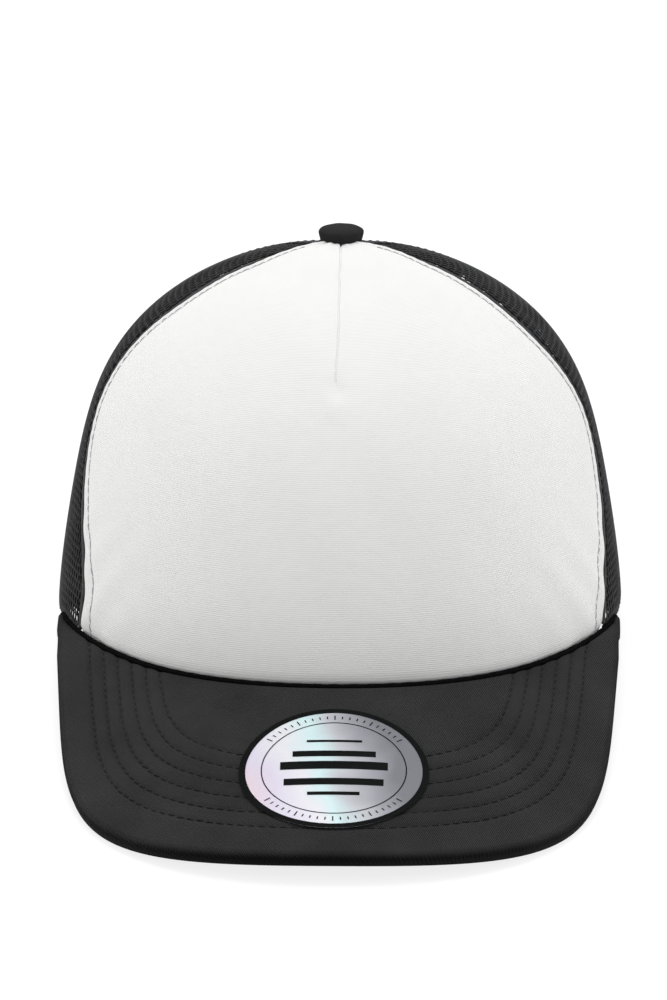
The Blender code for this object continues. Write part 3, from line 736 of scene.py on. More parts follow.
def front_relief(th, t, s_along):
    """Depth of the knit's outer face below the plain crown, in metres."""
    d = seam_distance(th, t)
    roll = np.clip(1 - d / 0.0021, 0, 1)
    dep = 0.00085 * (1 - np.sqrt(np.clip(1 - roll ** 2, 0, 1)))
    beat = 0.5 + 0.5 * np.cos(2 * math.pi * s_along / 0.0029)
    ds = d - stitch_inset(t)
    dep += 0.00045 * bell(ds, 0.00055) * (0.6 + 0.4 * beat)
    dep += 0.00022 * bell(ds, 0.0019)
    puff = 0.5 + 0.5 * np.sin(2 * math.pi * s_along / 0.0049 + 1.3 * np.sin(s_along * 310))
    dep -= 0.00028 * bell(d - 0.55 * stitch_inset(t), 0.0009) * (0.4 + 0.6 * puff)
    # dart: a sewn crease from the button down, hooking and ending in a soft dimple
    r, _ = spread(th, t)
    x = th * r + 0.0006 * bell(t - DART_END - 0.045, 0.045) + 0.0001 * np.sin(t * 60)
    x = np.abs(x)
    end = smooth((t - DART_END) / 0.02)
    dep += 0.00075 * bell(x, 0.00026) * end + 0.00020 * bell(x, 0.0022) * end
    dep += 0.00085 * bell(t - DART_END + 0.004, 0.022) * bell(x, 0.0030)
    dep -= 0.00030 * bell(t - DART_END + 0.050, 0.030) * bell(x, 0.0035)
    # radial puckers under the button, and the panel gathering up into it
    near = smooth((t - 0.90) / 0.08)
    dep += 0.00013 * near * np.sin(15 * th + 0.8 * np.sin(3 * th))
    dep -= 0.00175 * smooth((t - 0.84) / 0.13)
    # rolled lower edge at the visor
    low = crown_height_along(th, t)
    dep += 0.00110 * (1 - np.sqrt(np.clip(1 - np.clip(1 - low / 0.0024, 0, 1) ** 2, 0, 1)))
    # slow hand-made unevenness, faint pull lines near the lower corners
    dep += 0.00022 * np.sin(th * 5.1 + 1.0) * np.sin(t * 8.0 + 0.4) * smooth(low / 0.02)
    dep += 0.00007 * np.sin(th * 17.0 + t * 21.0) * smooth(low / 0.02)
    corner = smooth((np.abs(th) - 0.62) / 0.35) * (1 - smooth((t - 0.06) / 0.22))
    dep += 0.00026 * corner * np.sin(np.abs(th) * 34 + t * 62)
    return dep


def crown_height_along(th, t):
    """Rough arc length from the rim, metres."""
    _, g = spread(th, t)
    return g * CROWN_HEIGHT * 1.02


NU, NV = 270, 190
fine = np.linspace(0, 1, 4001)
dens = 1 + 7 * bell(fine - 0.5, 0.016) + 3.5 * bell(fine, 0.05) + 3.5 * bell(1 - fine, 0.05)
cum = np.concatenate([[0], np.cumsum((dens[1:] + dens[:-1]) / 2)])
cols = np.interp(np.linspace(0, 1, NU + 1), cum / cum[-1], fine)
UU, V = np.meshgrid(cols, np.linspace(0, 1, NV + 1))
th, t = between(V, lambda q: -seam_left(q), seam_right, UU, HOLE_TOP, GAP * 0.7)
SEAM_T = np.linspace(0, 1, 400) * 0.98
mid_pts = crown(front_seam(SEAM_T), SEAM_T)
mid_s = np.concatenate([[0], np.cumsum(np.linalg.norm(np.diff(mid_pts, axis=0), axis=1))])
s_al = np.interp(t, SEAM_T, mid_s)
scal = 0.00028 * np.sin(2 * math.pi * s_al / 0.0049 + 1.3 * np.sin(s_al * 310)) + 0.00008 * np.sin(s_al * 2900)
d_edge = seam_distance(th, t)
th2 = th - np.sign(th) * (0.00022 + scal) * bell(d_edge, 0.0016) / np.maximum(spread(th, t)[0], 0.004) * np.where(t < 0.97, 1, 0)
dep = front_relief(th2, t, s_al)
thick = KNIT - 0.0003 * np.clip(1 - d_edge / 0.0019, 0, 1)
top = crown_at(th2, t, dep)
under = crown_at(th2, t, dep + thick)
low = crown_height_along(th2, t)
# the cut edge hangs down into the seam with the visor
sag = 0.0015 * (1 - smooth(low / 0.0022))[..., None] * np.array([0, 0, 1.0])
top, under = top - sag, under - sag
flat_pts = crown(th2, t)
UVK = cloth_uv(flat_pts)
front_knit = slab("front_knit", top, under, M_KNIT, UVK)
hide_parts("front_panel_face")

# topstitch, 3 mm inside each seam, curling in a little at its foot
lines = []
for sign in (-1, 1):
    seam = seam_of(sign)
    tt = np.linspace(0.004, 0.955, 900)
    sl = np.interp(tt, SEAM_T, mid_s)
    wav = 0.00024 * np.sin(2 * math.pi * sl / 0.0052 + 1.1 * np.sin(sl * 240)) + 0.0012 * (1 - smooth(tt / 0.05))
    sth = sign * (seam(tt) - shift(seam(tt), tt, stitch_inset(tt) + wav))
    pth = crown_at(sth, tt, front_relief(sth, tt, sl) - 0.00015)
    lines.append((pth, crown_normal(sth, tt)))
front_topstitch = stitches("front_topstitch", lines, M_THREAD_GREY, pitch=0.0029, fill=0.985, radius=0.00015, wobble=0.00008, seed=3)

# foam behind the knit
NU, NV = 90, 70
U, V = np.meshgrid(np.linspace(0, 1, NU + 1), np.linspace(0, 1, NV + 1))
th, t = between(0.004 + 0.996 * V, lambda q: -seam_left(q), seam_right, U, FOAM_TOP, TAPE_WIDTH / 2 + 0.0012)
edge = np.minimum(np.minimum(U, 1 - U) * 0.16, np.minimum(V, 1 - V) * 0.14)
pinch = 0.0009 * (1 - smooth(edge / 0.004))
soft = 0.00025 * np.sin(th * 13) * np.sin(t * 19)
top = crown_at(th, t, 0 * t + KNIT + PLY + 0.00025 + pinch * 0.4)
under = crown_at(th, t, 0 * t + KNIT + PLY + FOAM - pinch + np.minimum(soft, 0.0001))
front_foam = slab("front_foam", top, under, M_FOAM, cloth_uv(crown(th, t)))
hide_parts("front_panel_foam")


# ------------------------------------------------------------ net panels
NET_W, NET_H = 0.00215, 0.00240          # pitch across, and between staggered rows
HOLE_W, HOLE_H = 0.00067, 0.00087        # hole half sizes


def arch_distance(x, z):
    """How far outside the half-moon's bound edge a back point lies."""
    w, h = OPEN_HALF + BIND_WIDTH - 0.0035, OPEN_HEIGHT + BIND_WIDTH - 0.0035
    zz = np.maximum(z - RIM_PLANE - GAP, 0)
    q = (np.abs(x / w) ** OPEN_EXP + (zz / h) ** OPEN_EXP) ** (1 / OPEN_EXP)
    return (q - 1) * 0.5 * (w + h)


def net_panel(name, node, a, b, sign, arch):
    """Knitted net between seams a and b (angles rising), mirrored by sign."""
    ts = np.linspace(0, 1, 1500) * height_at((a(0.5) + b(0.5)) / 2, HOLE_TOP)
    mid = (a(ts) + b(ts)) / 2
    line = crown(mid, ts)
    hs = np.concatenate([[0], np.cumsum(np.linalg.norm(np.diff(line, axis=0), axis=1))])
    half = np.max((b(ts) - a(ts)) / 2 * spread(mid, ts)[0]) * 1.12
    rows = int(hs[-1] / NET_H) + 3
    cols = int(half / NET_W) + 3
    jj, ii = np.meshgrid(np.arange(-1, rows), np.arange(-cols, cols + 1), indexing="ij")
    cw = (ii + 0.5 * (jj % 2)) * NET_W
    ch = jj * NET_H
    # outer ring of a staggered cell: six corners and six side middles
    c = np.array([[0.5, 1 / 6], [0.5, -1 / 6], [0.0, -0.5], [-0.5, -1 / 6], [-0.5, 1 / 6], [0.0, 0.5]])
    c[:, 1] *= 4 / 3
    ringo = []
    for k in range(6):
        ringo += [c[k], (c[k] + c[(k + 1) % 6]) / 2]
    ringo = np.array(ringo) * [NET_W, NET_H]
    ang = np.arctan2(ringo[:, 1] / NET_H, ringo[:, 0] / NET_W)
    ringi = np.stack([np.cos(ang) * HOLE_W, np.sin(ang) * HOLE_H], -1)

    def place(w, h, depth):
        t = np.interp(h, hs, ts)
        t = np.where(h < 0, 0, t)
        m = (a(t) + b(t)) / 2
        th = m.copy()
        th = m + w / np.maximum(spread(m, t)[0], 0.003)
        lo = a(t) + shift(a(t), t, GAP * 0.9)
        hi = b(t) - shift(b(t), t, GAP * 0.9)
        out = (th < lo) | (th > hi) | (h < 0) | (h > hs[-1])
        th = np.clip(th, lo, hi)
        t = np.minimum(t, height_at(th, HOLE_TOP))
        t = np.maximum(t, 0.0)
        d = np.where(out, 0.00045, depth)
        # the net turns in towards its seams
        edge = np.minimum(th - a(t), b(t) - th) * spread(th, t)[0]
        d = d + 0.00045 * (1 - smooth(edge / 0.0022))
        d = d + 0.00060 * smooth((t - 0.86) / 0.08)
        p = crown_at(sign * th, t, d)
        skirt = 0.0026 * (1 - smooth(crown_height_along(th, t) / 0.0020)) * (1 - smooth((th - 1.36) / 0.20))
        p[..., 2] -= skirt
        return p, th, t

    wo = cw[..., None] + ringo[:, 0]
    ho = ch[..., None] + ringo[:, 1]
    wi = cw[..., None] + ringi[:, 0]
    hi_ = ch[..., None] + ringi[:, 1]
    # keep cells whose centre is inside, or close to, the panel
    tc = np.interp(ch, hs, ts)
    mc = (a(tc) + b(tc)) / 2
    rc = np.maximum(spread(mc, tc)[0], 0.003)
    inside = (np.abs(cw) < (b(tc) - a(tc)) / 2 * rc + NET_W * 0.6) & (ch > -NET_H) & (ch < hs[-1] + NET_H * 0.5)
    if arch:
        pc, _, _ = place(cw, ch, 0.0 * cw)
        inside &= arch_distance(pc[..., 0], pc[..., 2]) > 0.0
    wo, ho, wi, hi_ = (q[inside] for q in (wo, ho, wi, hi_))
    # in-plane wander so that the net isn't drawn with a ruler
    def wander(w, h):
        return (w + 0.00010 * np.sin(h * 410 + 3 * np.sin(w * 130)), h + 0.00012 * np.sin(w * 360 + 2 * np.sin(h * 170)))
    wo, ho = wander(wo, ho)
    wi, hi_ = wander(wi, hi_)
    fo, _, _ = place(wo, ho, 0 * wo + 0.00002)
    bo, _, _ = place(wo, ho, 0 * wo + 0.00060)
    mi, _, _ = place(wi, hi_, 0 * wi + 0.00030)
    n = len(wo)
    allp = np.concatenate([fo.reshape(-1, 3), bo.reshape(-1, 3), mi.reshape(-1, 3)])
    key = np.round(allp / 2e-6).astype(np.int64)
    _, first, inv = np.unique(key, axis=0, return_index=True, return_inverse=True)
    inv = inv.reshape(-1)
    pts = allp[first]
    i0 = np.arange(n)[:, None] * 12 + np.arange(12)[None]
    i1 = np.arange(n)[:, None] * 12 + (np.arange(12)[None] + 1) % 12
    N = n * 12
    front = np.stack([i0, i1, i1 + 2 * N, i0 + 2 * N], -1).reshape(-1, 4)
    rear = np.stack([i0 + N, i0 + 2 * N, i1 + 2 * N, i1 + N], -1).reshape(-1, 4)
    if sign > 0:
        front, rear = front[:, ::-1], rear[:, ::-1]
    q = inv[np.concatenate([front, rear])]
    # drop collapsed faces: split into triangles and keep the real ones
    tri = np.concatenate([q[:, [0, 1, 2]], q[:, [0, 2, 3]]])
    ok = (tri[:, 0] != tri[:, 1]) & (tri[:, 1] != tri[:, 2]) & (tri[:, 0] != tri[:, 2])
    e1, e2 = pts[tri[:, 1]] - pts[tri[:, 0]], pts[tri[:, 2]] - pts[tri[:, 0]]
    ok &= np.linalg.norm(np.cross(e1, e2), axis=1) > 1e-12
    whole = ok[:len(q)] & ok[len(q):]
    t3 = np.concatenate([tri[:len(q)][ok[:len(q)] & ~whole], tri[len(q):][ok[len(q):] & ~whole]])
    faces = [q[whole]] + ([t3] if len(t3) else [])
    ob = make(name, pts, faces, M_NET)
    # painted shade mask: 1 on the hole edges, 0 on the yarn ridges
    hole_edge_shade = ob.data.attributes.new("hole_edge_shade", "FLOAT", "POINT")
    if len(ob.data.vertices) == len(first):
        hole_edge_shade.data.foreach_set("value", (first >= 2 * N).astype(np.float32))
    else:
        print("hollow sizes", len(first), len(ob.data.vertices))
    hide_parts(node)
    print(name, len(ob.data.polygons))
    return ob


net_sr = net_panel("net_side_right", "side_net_right", seam_right, rear_seam, 1, False)
net_sl = net_panel("net_side_left", "side_net_left", seam_left, rear_seam, -1, False)
net_br = net_panel("net_back_right", "back_net_right", rear_seam, back_seam, 1, True)
net_bl = net_panel("net_back_left", "back_net_left", rear_seam, back_seam, -1, True)

# folded seam edges of the nets: a thin welt along every sewn edge
runs = []
tt = np.linspace(0.0, 0.972, 500)
for sign in (-1, 1):
    for seam, off, rad, sunk in ((seam_of(sign), 0.00095, 0.00060, 0.00070), (rear_seam, 0.0006, 0.0005, 0.00045), (rear_seam, -0.0006, 0.0005, 0.00045)):
        sth = sign * (seam(tt) + shift(seam(tt), tt, off + 0.00010 * np.sin(tt * 210)))
        runs.append((crown_at(sth, tt, 0 * tt + sunk), crown_normal(sth, tt), rad))
    tb = np.linspace(0.338, 0.972, 300)
    sth = sign * (math.pi - shift(0 * tb + math.pi, tb, 0.0006))
    runs.append((crown_at(sth, tb, 0 * tb + 0.00060), crown_normal(sth, tb), 0.0004))
net_seam_welts = tubes("net_seam_welts", runs, M_NET)

# twin topstitching on the rear and centre-back seams
lines = []
tt = np.linspace(0.01, 0.96, 600)
for sign in (-1, 1):
    for off in (-0.0032, 0.0032):
        sth = sign * (rear_seam(tt) + shift(rear_seam(tt), tt, off))
        lines.append((crown_at(sth, tt, 0 * tt + 0.00020), crown_normal(sth, tt)))
    tb = np.linspace(0.385, 0.96, 400)
    sth = sign * (math.pi - shift(0 * tb + math.pi, tb, 0.0032))
    lines.append((crown_at(sth, tb, 0 * tb + 0.00020), crown_normal(sth, tb)))
    # the stitch that holds the net to the front seam, seen as a dark line beside it
    sth = sign * (seam_of(sign)(tt) + shift(seam_of(sign)(tt), tt, 0.0021))
    lines.append((crown_at(sth, tt, 0 * tt + 0.00010), crown_normal(sth, tt)))
net_topstitch = stitches("net_topstitch", lines, M_THREAD_DARK, pitch=0.0028, fill=0.84, radius=0.00021, seed=5)


# ------------------------------------------------------------ seam tapes
def tape_piece(name, node, seam, sign, t0, depth):
    nu, nv = 14, 120
    U, V = np.meshgrid(np.linspace(0, 1, nu + 1), np.linspace(0, 1, nv + 1))
    t = t0 + (height_at(seam(0.9 + 0 * V), TAPE_TOP) - t0) * V
    th = sign * seam(t)
    th = th + shift(th, t, TAPE_WIDTH * (U - 0.5)) * 1.0
    e = np.minimum(U, 1 - U) * TAPE_WIDTH
    sink = 0.00018 * bell(e - 0.0016, 0.0006) + 0.00012 * bell(U - 0.5, 0.05)
    edge = 0.00028 * (1 - smooth(e / 0.0008))
    wav = 0.00006 * np.sin(t * 90) * np.sin(U * 6)
    top = crown_at(th, t, depth + edge)
    under = crown_at(th, t, depth + TAPE - edge - sink + wav)
    if sign < 0:
        top, under = top[:, ::-1], under[:, ::-1]
    top, under = top[:, ::1], under[:, ::1]
    ob = slab(name, top, under, M_TAPE, cloth_uv(top))
    fix_normals(ob)
    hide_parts(node)
    s = []
    for f in (-0.5 + 0.0016 / TAPE_WIDTH, 0.5 - 0.0016 / TAPE_WIDTH):
        tt = np.linspace(t0 + 0.005, float(np.min(t[-1])) - 0.005, 300)
        sth = sign * seam(tt)
        sth = sth + shift(sth, tt, TAPE_WIDTH * f)
        s.append((crown_at(sth, tt, 0 * tt + depth + TAPE - 0.00014), -crown_normal(sth, tt)))
    return ob, s


def fix_normals(ob):
    bm = bmesh.new()
    bm.from_mesh(ob.data)
    bmesh.ops.recalc_face_normals(bm, faces=bm.faces)
    bm.to_mesh(ob.data)
    bm.free()


tape_lines = []
for nm, node, seam, sign, t0, depth, flat in (
        ("tape_front_right", "seam_tape_front_right", seam_right, 1, 0.01, UNDER_NET, 0.150),
        ("tape_front_left", "seam_tape_front_left", seam_left, -1, 0.01, UNDER_NET, 0.150),
        ("tape_rear_right", "seam_tape_rear_right", rear_seam, 1, 0.01, UNDER_NET, 0.145),
        ("tape_rear_left", "seam_tape_rear_left", rear_seam, -1, 0.01, UNDER_NET, 0.145),
        ("tape_back", "seam_tape_back", back_seam, 1, 0.365, UNDER_NET, 0.080),
        ("tape_dart", "dart_tape", lambda q: 0 * q, 1, 0.44, KNIT + FOAM + 2 * PLY, 0.085)):
    ob, s = tape_piece(nm, node, seam, sign, t0, depth)
    tape_lines += s
tape_stitches = stitches("tape_stitches", tape_lines, M_THREAD_DARK, pitch=0.003, fill=0.8, radius=0.0002, sides=5, seed=7)

# ------------------------------------------------------------ sweatband
NU, NV = 420, 26
U, V = np.meshgrid(np.linspace(0, 1, NU + 1), np.linspace(0, 1, NV + 1))
th = (2 * U - 1) * BAND_END
t = 0.002 + (BAND_TOP - 0.002) * V
h = crown_height_along(th, t)
hmax = crown_height_along(th, 0 * t + BAND_TOP)
lo_e, hi_e = h, hmax - h
roundness = 0.0006 * (1 - np.sqrt(np.clip(1 - np.clip(1 - np.minimum(lo_e, hi_e) / 0.0010, 0, 1) ** 2, 0, 1)))
seam_dip = 0.00035 * bell(hi_e - 0.0030, 0.0007)
puff = 0.00020 * np.sin(U * 210 + 2 * np.sin(U * 37)) * smooth(lo_e / 0.006) * smooth(hi_e / 0.008)
dep = band_depth(th)
top = crown_at(th, t, dep + roundness * 0.6)
under = crown_at(th, t, dep + BAND_THICK - roundness - seam_dip + np.clip(puff, -0.0003, 0.00012))
sweat = slab("sweatband_cloth", top, under, M_BAND, cloth_uv(top))
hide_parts("sweatband")
thl = np.linspace(-BAND_END * 0.985, BAND_END * 0.985, 1600)
lines = []
for inset in (0.0030,):
    tl = np.full_like(thl, BAND_TOP)
    for _ in range(8):
        gap = crown_height_along(thl, np.full_like(thl, BAND_TOP)) - crown_height_along(thl, tl)
        tl = tl - (inset - gap) / 0.10
    lines.append((crown_at(thl, tl, band_depth(thl) + BAND_THICK - 0.00035 + 0.00003), -crown_normal(thl, tl)))
tl = np.full_like(thl, 0.010)
lines.append((crown_at(thl, tl, band_depth(thl) + BAND_THICK - 0.00005), -crown_normal(thl, tl)))
sweat_stitches = stitches("sweatband_stitches", lines, M_THREAD_DARK, pitch=0.003, fill=0.8, radius=0.00024, sides=5, seed=9)

# rim binding: the folded edge of the net and band under the crown
thr = np.concatenate([np.linspace(math.radians(71), math.radians(148), 260)])
runs = []
for sign in (-1, 1):
    q = sign * thr
    p = crown_at(q, 0 * q + 0.0, 0 * q + 0.0009)
    p[:, 2] += 0.00055
    runs.append((p, crown_normal(q, 0 * q), 0.00058))
rim_welt = tubes("rim_welt", runs, M_BIND)

# label, blank
U, V = np.meshgrid(np.linspace(0, 1, 41), np.linspace(0, 1, 25))
th = -math.radians(136) + math.radians(12) * U
t = 0.035 + 0.10 * V
wave = 0.00012 * np.sin(U * 5) * np.sin(V * 4)
top = crown_at(th, t, band_depth(th) + BAND_THICK + 2 * PLY - 0.0002)
under = crown_at(th, t, band_depth(th) + BAND_THICK + 2 * PLY + 0.0002 + wave)
label = slab("blank_label", top, under, M_LABEL, cloth_uv(top))
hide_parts("inner_label")

# ------------------------------------------------------------ half-moon binding
NU, NV = 260, 16
U, V = np.meshgrid(np.linspace(0, 1, NU + 1), np.linspace(0, 1, NV + 1))
x, z = arch_point(math.pi * U, OPEN_HALF + BIND_WIDTH * V, OPEN_HEIGHT + BIND_WIDTH * V)
th, t = back_angles(x, z + RIM_PLANE + GAP)
e = np.minimum(V, 1 - V) * BIND_WIDTH
rnd = 0.0007 * (1 - np.sqrt(np.clip(1 - np.clip(1 - e / 0.0010, 0, 1) ** 2, 0, 1)))
groove = 0.00025 * bell((1 - V) * BIND_WIDTH - 0.0018, 0.0006) + 0.00012 * bell(V * BIND_WIDTH - 0.0018, 0.0006)
wr = 0.00010 * np.sin(U * 300 + 3 * np.sin(U * 41)) * smooth(e / 0.002)
top = crown_at(th, t, rnd + groove + np.maximum(wr, -0.00005))
under = crown_at(th, t, BIND_THICK - rnd - groove * 0.6)
bind = slab("half_moon_binding", top, under, M_BIND, cloth_uv(np.swapaxes(top, 0, 1)).swapaxes(0, 1)[..., ::-1])
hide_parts("opening_binding")
lines = []
ua = np.linspace(0.01, 0.99, 900)
for off in (0.0018, 0.0062):
    xl, zl = arch_point(math.pi * ua, OPEN_HALF + off, OPEN_HEIGHT + off)
    tl, hl = back_angles(xl, zl + RIM_PLANE + GAP)
    lines.append((crown_at(tl, hl, 0 * hl + 0.00012), crown_normal(tl, hl)))
    lines.append((crown_at(tl, hl, 0 * hl + BIND_THICK - 0.00010), -crown_normal(tl, hl)))
bind_stitches = stitches("binding_stitches", lines, M_THREAD_DARK, pitch=0.0027, fill=0.8, radius=0.00021, sides=5, seed=11)

# ------------------------------------------------------------ visor
ROWS = [(0.0754 - 0.0041 * k, 0.1533 - 0.00585 * k) for k in range(6)]
ROW_CORNER, ROW_EXP = 5.45, 1.95


def row_path(half, front, pitch=0.0006):
    o = visor_outline(half, front, ROW_CORNER, ROW_EXP, 0.024)
    p, _ = resample(o, pitch=pitch)
    r = np.hypot(p[:, 0], p[:, 1])
    return p[r > rim_radius(np.arctan2(p[:, 0], -p[:, 1])) + 0.0017]


row_paths = [row_path(*r) for r in ROWS]


def row_field(x, y):
    """Signed measure of the stitched rows: groove depth at a point."""
    dep = np.zeros_like(x)
    yy = -y
    for half, front in ROWS:
        side = np.clip((yy - VISOR_SIDE_Y) / (front - VISOR_SIDE_Y), 0, 1)
        w = half - VISOR_TAPER * np.maximum(yy - VISOR_SIDE_Y, 0)
        w = np.where(yy < VISOR_SIDE_Y, half + (VISOR_TIP_X - VISOR_HALF_WIDTH) * (VISOR_SIDE_Y - yy) / (VISOR_SIDE_Y - VISOR_TIP_Y), w)
        # implicit form of the row: (x/w)^a with its own corner law
        sn = side ** (ROW_CORNER / 2)
        cs = np.sqrt(np.clip(1 - sn ** 2, 0, 1))
        xr = w * cs ** (2 / ROW_EXP)
        dx = np.abs(x) - xr
        e = 1e-5
        side2 = np.clip((yy + e - VISOR_SIDE_Y) / (front - VISOR_SIDE_Y), 0, 1)
        sn2 = side2 ** (ROW_CORNER / 2)
        xr2 = (w - VISOR_TAPER * e) * np.sqrt(np.clip(1 - sn2 ** 2, 0, 1)) ** (2 / ROW_EXP)
        g = np.sqrt(1 + np.clip((xr2 - xr) / e, -400, 400) ** 2)
        dist = dx / g
        over = yy > front
        cx = np.clip(np.abs(x) / np.maximum(w, 1e-4), 0, 1)
        yr = VISOR_SIDE_Y + (front - VISOR_SIDE_Y) * np.sqrt(np.clip(1 - (cx ** (ROW_EXP / 2)) ** 2, 0, 1)) ** (2 / ROW_CORNER)
        dist = np.where(over | (np.abs(x) < 0.62 * w), (yy - yr) / 1.05, dist)
        dep += 0.00042 * bell(dist, 0.00080)
    return dep


def visor_cover(name, depth, thick, inset, tip_y, lip, mat, grooves, sign=1):
    nu = 420
    inner = inner_edge(nu, tip_y, 0.0006)
    outer = outer_edge(nu, inset + (0.0020 if lip else 0.0), tip_y)
    rim = outer_edge(nu, inset, tip_y)
    across = 110
    w = np.linspace(0, 1, across + 1)[:, None, None]
    xy = inner[None] * (1 - w) + outer[None] * w
    x, y = xy[..., 0], xy[..., 1]
    field = row_field(x, y) if grooves else 0 * x
    ease = 0.00010 * np.sin(x * 160 + 1.0) * np.sin(y * 120)
    r = np.hypot(x, y) - rim_radius(np.arctan2(x, -y))
    field = field * smooth((r + 0.0005) / 0.002) + (ease * smooth(r / 0.01) if grooves else 0)
    dip = 0.0008 * (1 - smooth((r - 0.0002) / 0.0030)) if grooves else 0 * x
    top = visor_at(x, y, depth + sign * field + dip)
    bot = visor_at(x, y, depth + thick + dip * 0.6)
    uv = np.stack([x, y], -1)
    if lip:
        n = 9
        tops, bots, uvs = [], [], []
        nx = rim - outer
        for k in range(1, n + 1):
            a = min(k / 6.0, 1.0) * math.pi / 2
            down = 0.0020 * (1 - math.cos(a)) + (0.0 if k <= 6 else (k - 6) / 3.0 * 0.0016)
            q = outer + nx * math.sin(a)
            q2 = outer + nx * math.sin(a) * 0.45
            tops.append(visor_at(q[:, 0], q[:, 1], np.full(nu + 1, depth + down)))
            bots.append(visor_at(q2[:, 0], q2[:, 1], np.full(nu + 1, depth + max(thick, down * 1.0))))
            uvs.append(q + nx * (down / 0.0020))
        top = np.concatenate([top, np.stack(tops)])
        bot = np.concatenate([bot, np.stack(bots)])
        uv = np.concatenate([uv, np.stack(uvs)])
    ob = slab(name, top[:, ::-1], bot[:, ::-1], mat, uv[:, ::-1])
    fix_normals(ob)
    if lip:
        # painted shade: the turned edge is coloured darker than the flat of the visor, standing in for the shade where
        # it rolls under
        turned = np.zeros(top.shape[:2])
        turned[across + 2:] = np.clip((np.arange(1, n) + 0.0) / 4.0, 0, 1)[:, None]
        turned[across:across + 2] = 0.12
        field_at = ob.data.attributes.new("lip_painted_shade", "FLOAT", "POINT")
        values = np.concatenate([turned[:, ::-1].reshape(-1)] * 2).astype(np.float32)
        if len(values) == len(ob.data.vertices):
            field_at.data.foreach_set("value", values)
        else:
            print("turned edge sizes", len(values), len(ob.data.vertices))
    return ob


visor_top = visor_cover("visor_top_twill", 0.0, COVER * 0.9, 0.0, 0.0262, True, M_TWILL, True)
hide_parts("visor_top_cover")
visor_bottom = visor_cover("visor_bottom_twill", COVER + BOARD + 2 * GAP, COVER, 0.0013, 0.038, False, M_TWILL_UNDER, False)
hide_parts("visor_bottom_cover")

# the sewn-in edge of the visor: a rolled welt where it meets the crown, coloured near black as painted shade of the
# crevice under the crown's edge
edge_xy = inner_edge(360, 0.0262, 0.0)
edge_r = np.hypot(edge_xy[:, 0], edge_xy[:, 1])[:, None]
edge_xy = edge_xy * (1 + 0.00045 / edge_r)
edge_s = np.linspace(0, 1, len(edge_xy))
edge_p = visor_at(edge_xy[:, 0], edge_xy[:, 1], 0.00060 + 0.00006 * np.sin(edge_s * 260))
visor_welt = tubes("visor_seam_welt", [(edge_p, visor_normal(edge_xy[:, 0], edge_xy[:, 1]), 0.00090)], M_SEAM_SHADE)

lines, lines_under = [], []
for p in row_paths:
    x, y = p[:, 0], p[:, 1]
    lines.append((visor_at(x, y, 0 * x + 0.00034), visor_normal(x, y)))
    keep = np.hypot(x, y) > rim_radius(np.arctan2(x, -y)) + 0.004
    lines_under.append((visor_at(x[keep], y[keep], 0 * x[keep] + 2 * COVER + BOARD + 2 * GAP + 0.00004), -visor_normal(x[keep], y[keep])))
visor_stitches = stitches("visor_stitches", lines, M_THREAD_DARK, pitch=0.0031, fill=0.78, radius=0.00021, seed=13)
visor_under_stitches = stitches("visor_under_stitches", lines_under, M_THREAD_DARK, pitch=0.0031, fill=0.78, radius=0.00021, sides=5, seed=15)

# ------------------------------------------------------------ sticker
def disc_point(r, a, lift):
    x = r * np.sin(a)
    y = r * np.cos(a) * math.cos(VISOR_DROOP) - STICKER_Y
    return visor_at(x, y, 0 * x - lift)


nr, na = 40, 192
R, A = np.meshgrid(np.linspace(0, 1, nr + 1), np.linspace(0, 2 * math.pi, na + 1)[:-1], indexing="ij")


def disc(name, radius, lift, thick, mat, edge=0.0001):
    r = np.maximum(R, 1e-4) * radius
    top = disc_point(r, A, lift - edge * np.clip((R - 0.985) / 0.015, 0, 1))
    bot = disc_point(r, A, 0 * r + lift - thick)
    n = (nr + 1) * na
    i, j = np.meshgrid(np.arange(na), np.arange(nr))
    i, j = i.reshape(-1), j.reshape(-1)
    k = (i + 1) % na
    q = np.stack([j * na + i, (j + 1) * na + i, (j + 1) * na + k, j * na + k], -1)
    wall_i = np.arange(na)
    wk = (wall_i + 1) % na
    o = nr * na
    wall = np.stack([o + wall_i, o + wall_i + n, o + wk + n, o + wk], -1)
    caps = np.stack([wall_i[::-1], wall_i + n])
    verts = np.concatenate([top.reshape(-1, 3), bot.reshape(-1, 3)])
    uv = np.stack([r * np.sin(A), r * np.cos(A)], -1).reshape(-1, 2)
    ob = make(name, verts, [q, q[:, ::-1] + n, wall, caps], mat, uv=np.concatenate([uv, uv]))
    fix_normals(ob)
    return ob


sticker = disc("sticker_foil", STICKER_RADIUS, GAP + STICKER_THICK - 0.00006, STICKER_THICK - 0.00006, M_FOIL)
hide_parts("brim_sticker")

INK = GAP + STICKER_THICK


def ring_patch(r0, r1, a0, a1, n):
    a = np.linspace(a0, a1, n + 1)
    p = np.concatenate([disc_point(0 * a + r0, a, INK), disc_point(0 * a + r1, a, INK)])
    i = np.arange(n)
    return p, np.stack([i, i + 1, n + 2 + i, n + 1 + i], -1)


def bar_patch(x0, x1, y0, y1, nx=12, ny=2, slant=0.0):
    X, Y = np.meshgrid(np.linspace(x0, x1, nx + 1), np.linspace(y0, y1, ny + 1))
    X = X + slant * Y
    r, a = np.hypot(X, Y), np.arctan2(X, Y)
    return disc_point(r, a, INK).reshape(-1, 3), grid_faces(nx, ny)


def join_patches(name, patches, mat, flip_fix=True, body="cap"):
    vs, qs, base = [], [], 0
    for v, q in patches:
        vs.append(v)
        qs.append(q + base)
        base += len(v)
    ob = make(name, np.concatenate(vs), [np.concatenate(qs)], mat, body)
    up_n = world_dir(np.array([[0.0, 0.0, 1.0]]))[0]
    bm = bmesh.new()
    bm.from_mesh(ob.data)
    bm.normal_update()
    flip = [f for f in bm.faces if f.normal.dot(Vector(up_n.tolist())) < 0]
    bmesh.ops.reverse_faces(bm, faces=flip)
    bm.to_mesh(ob.data)
    bm.free()
    return ob


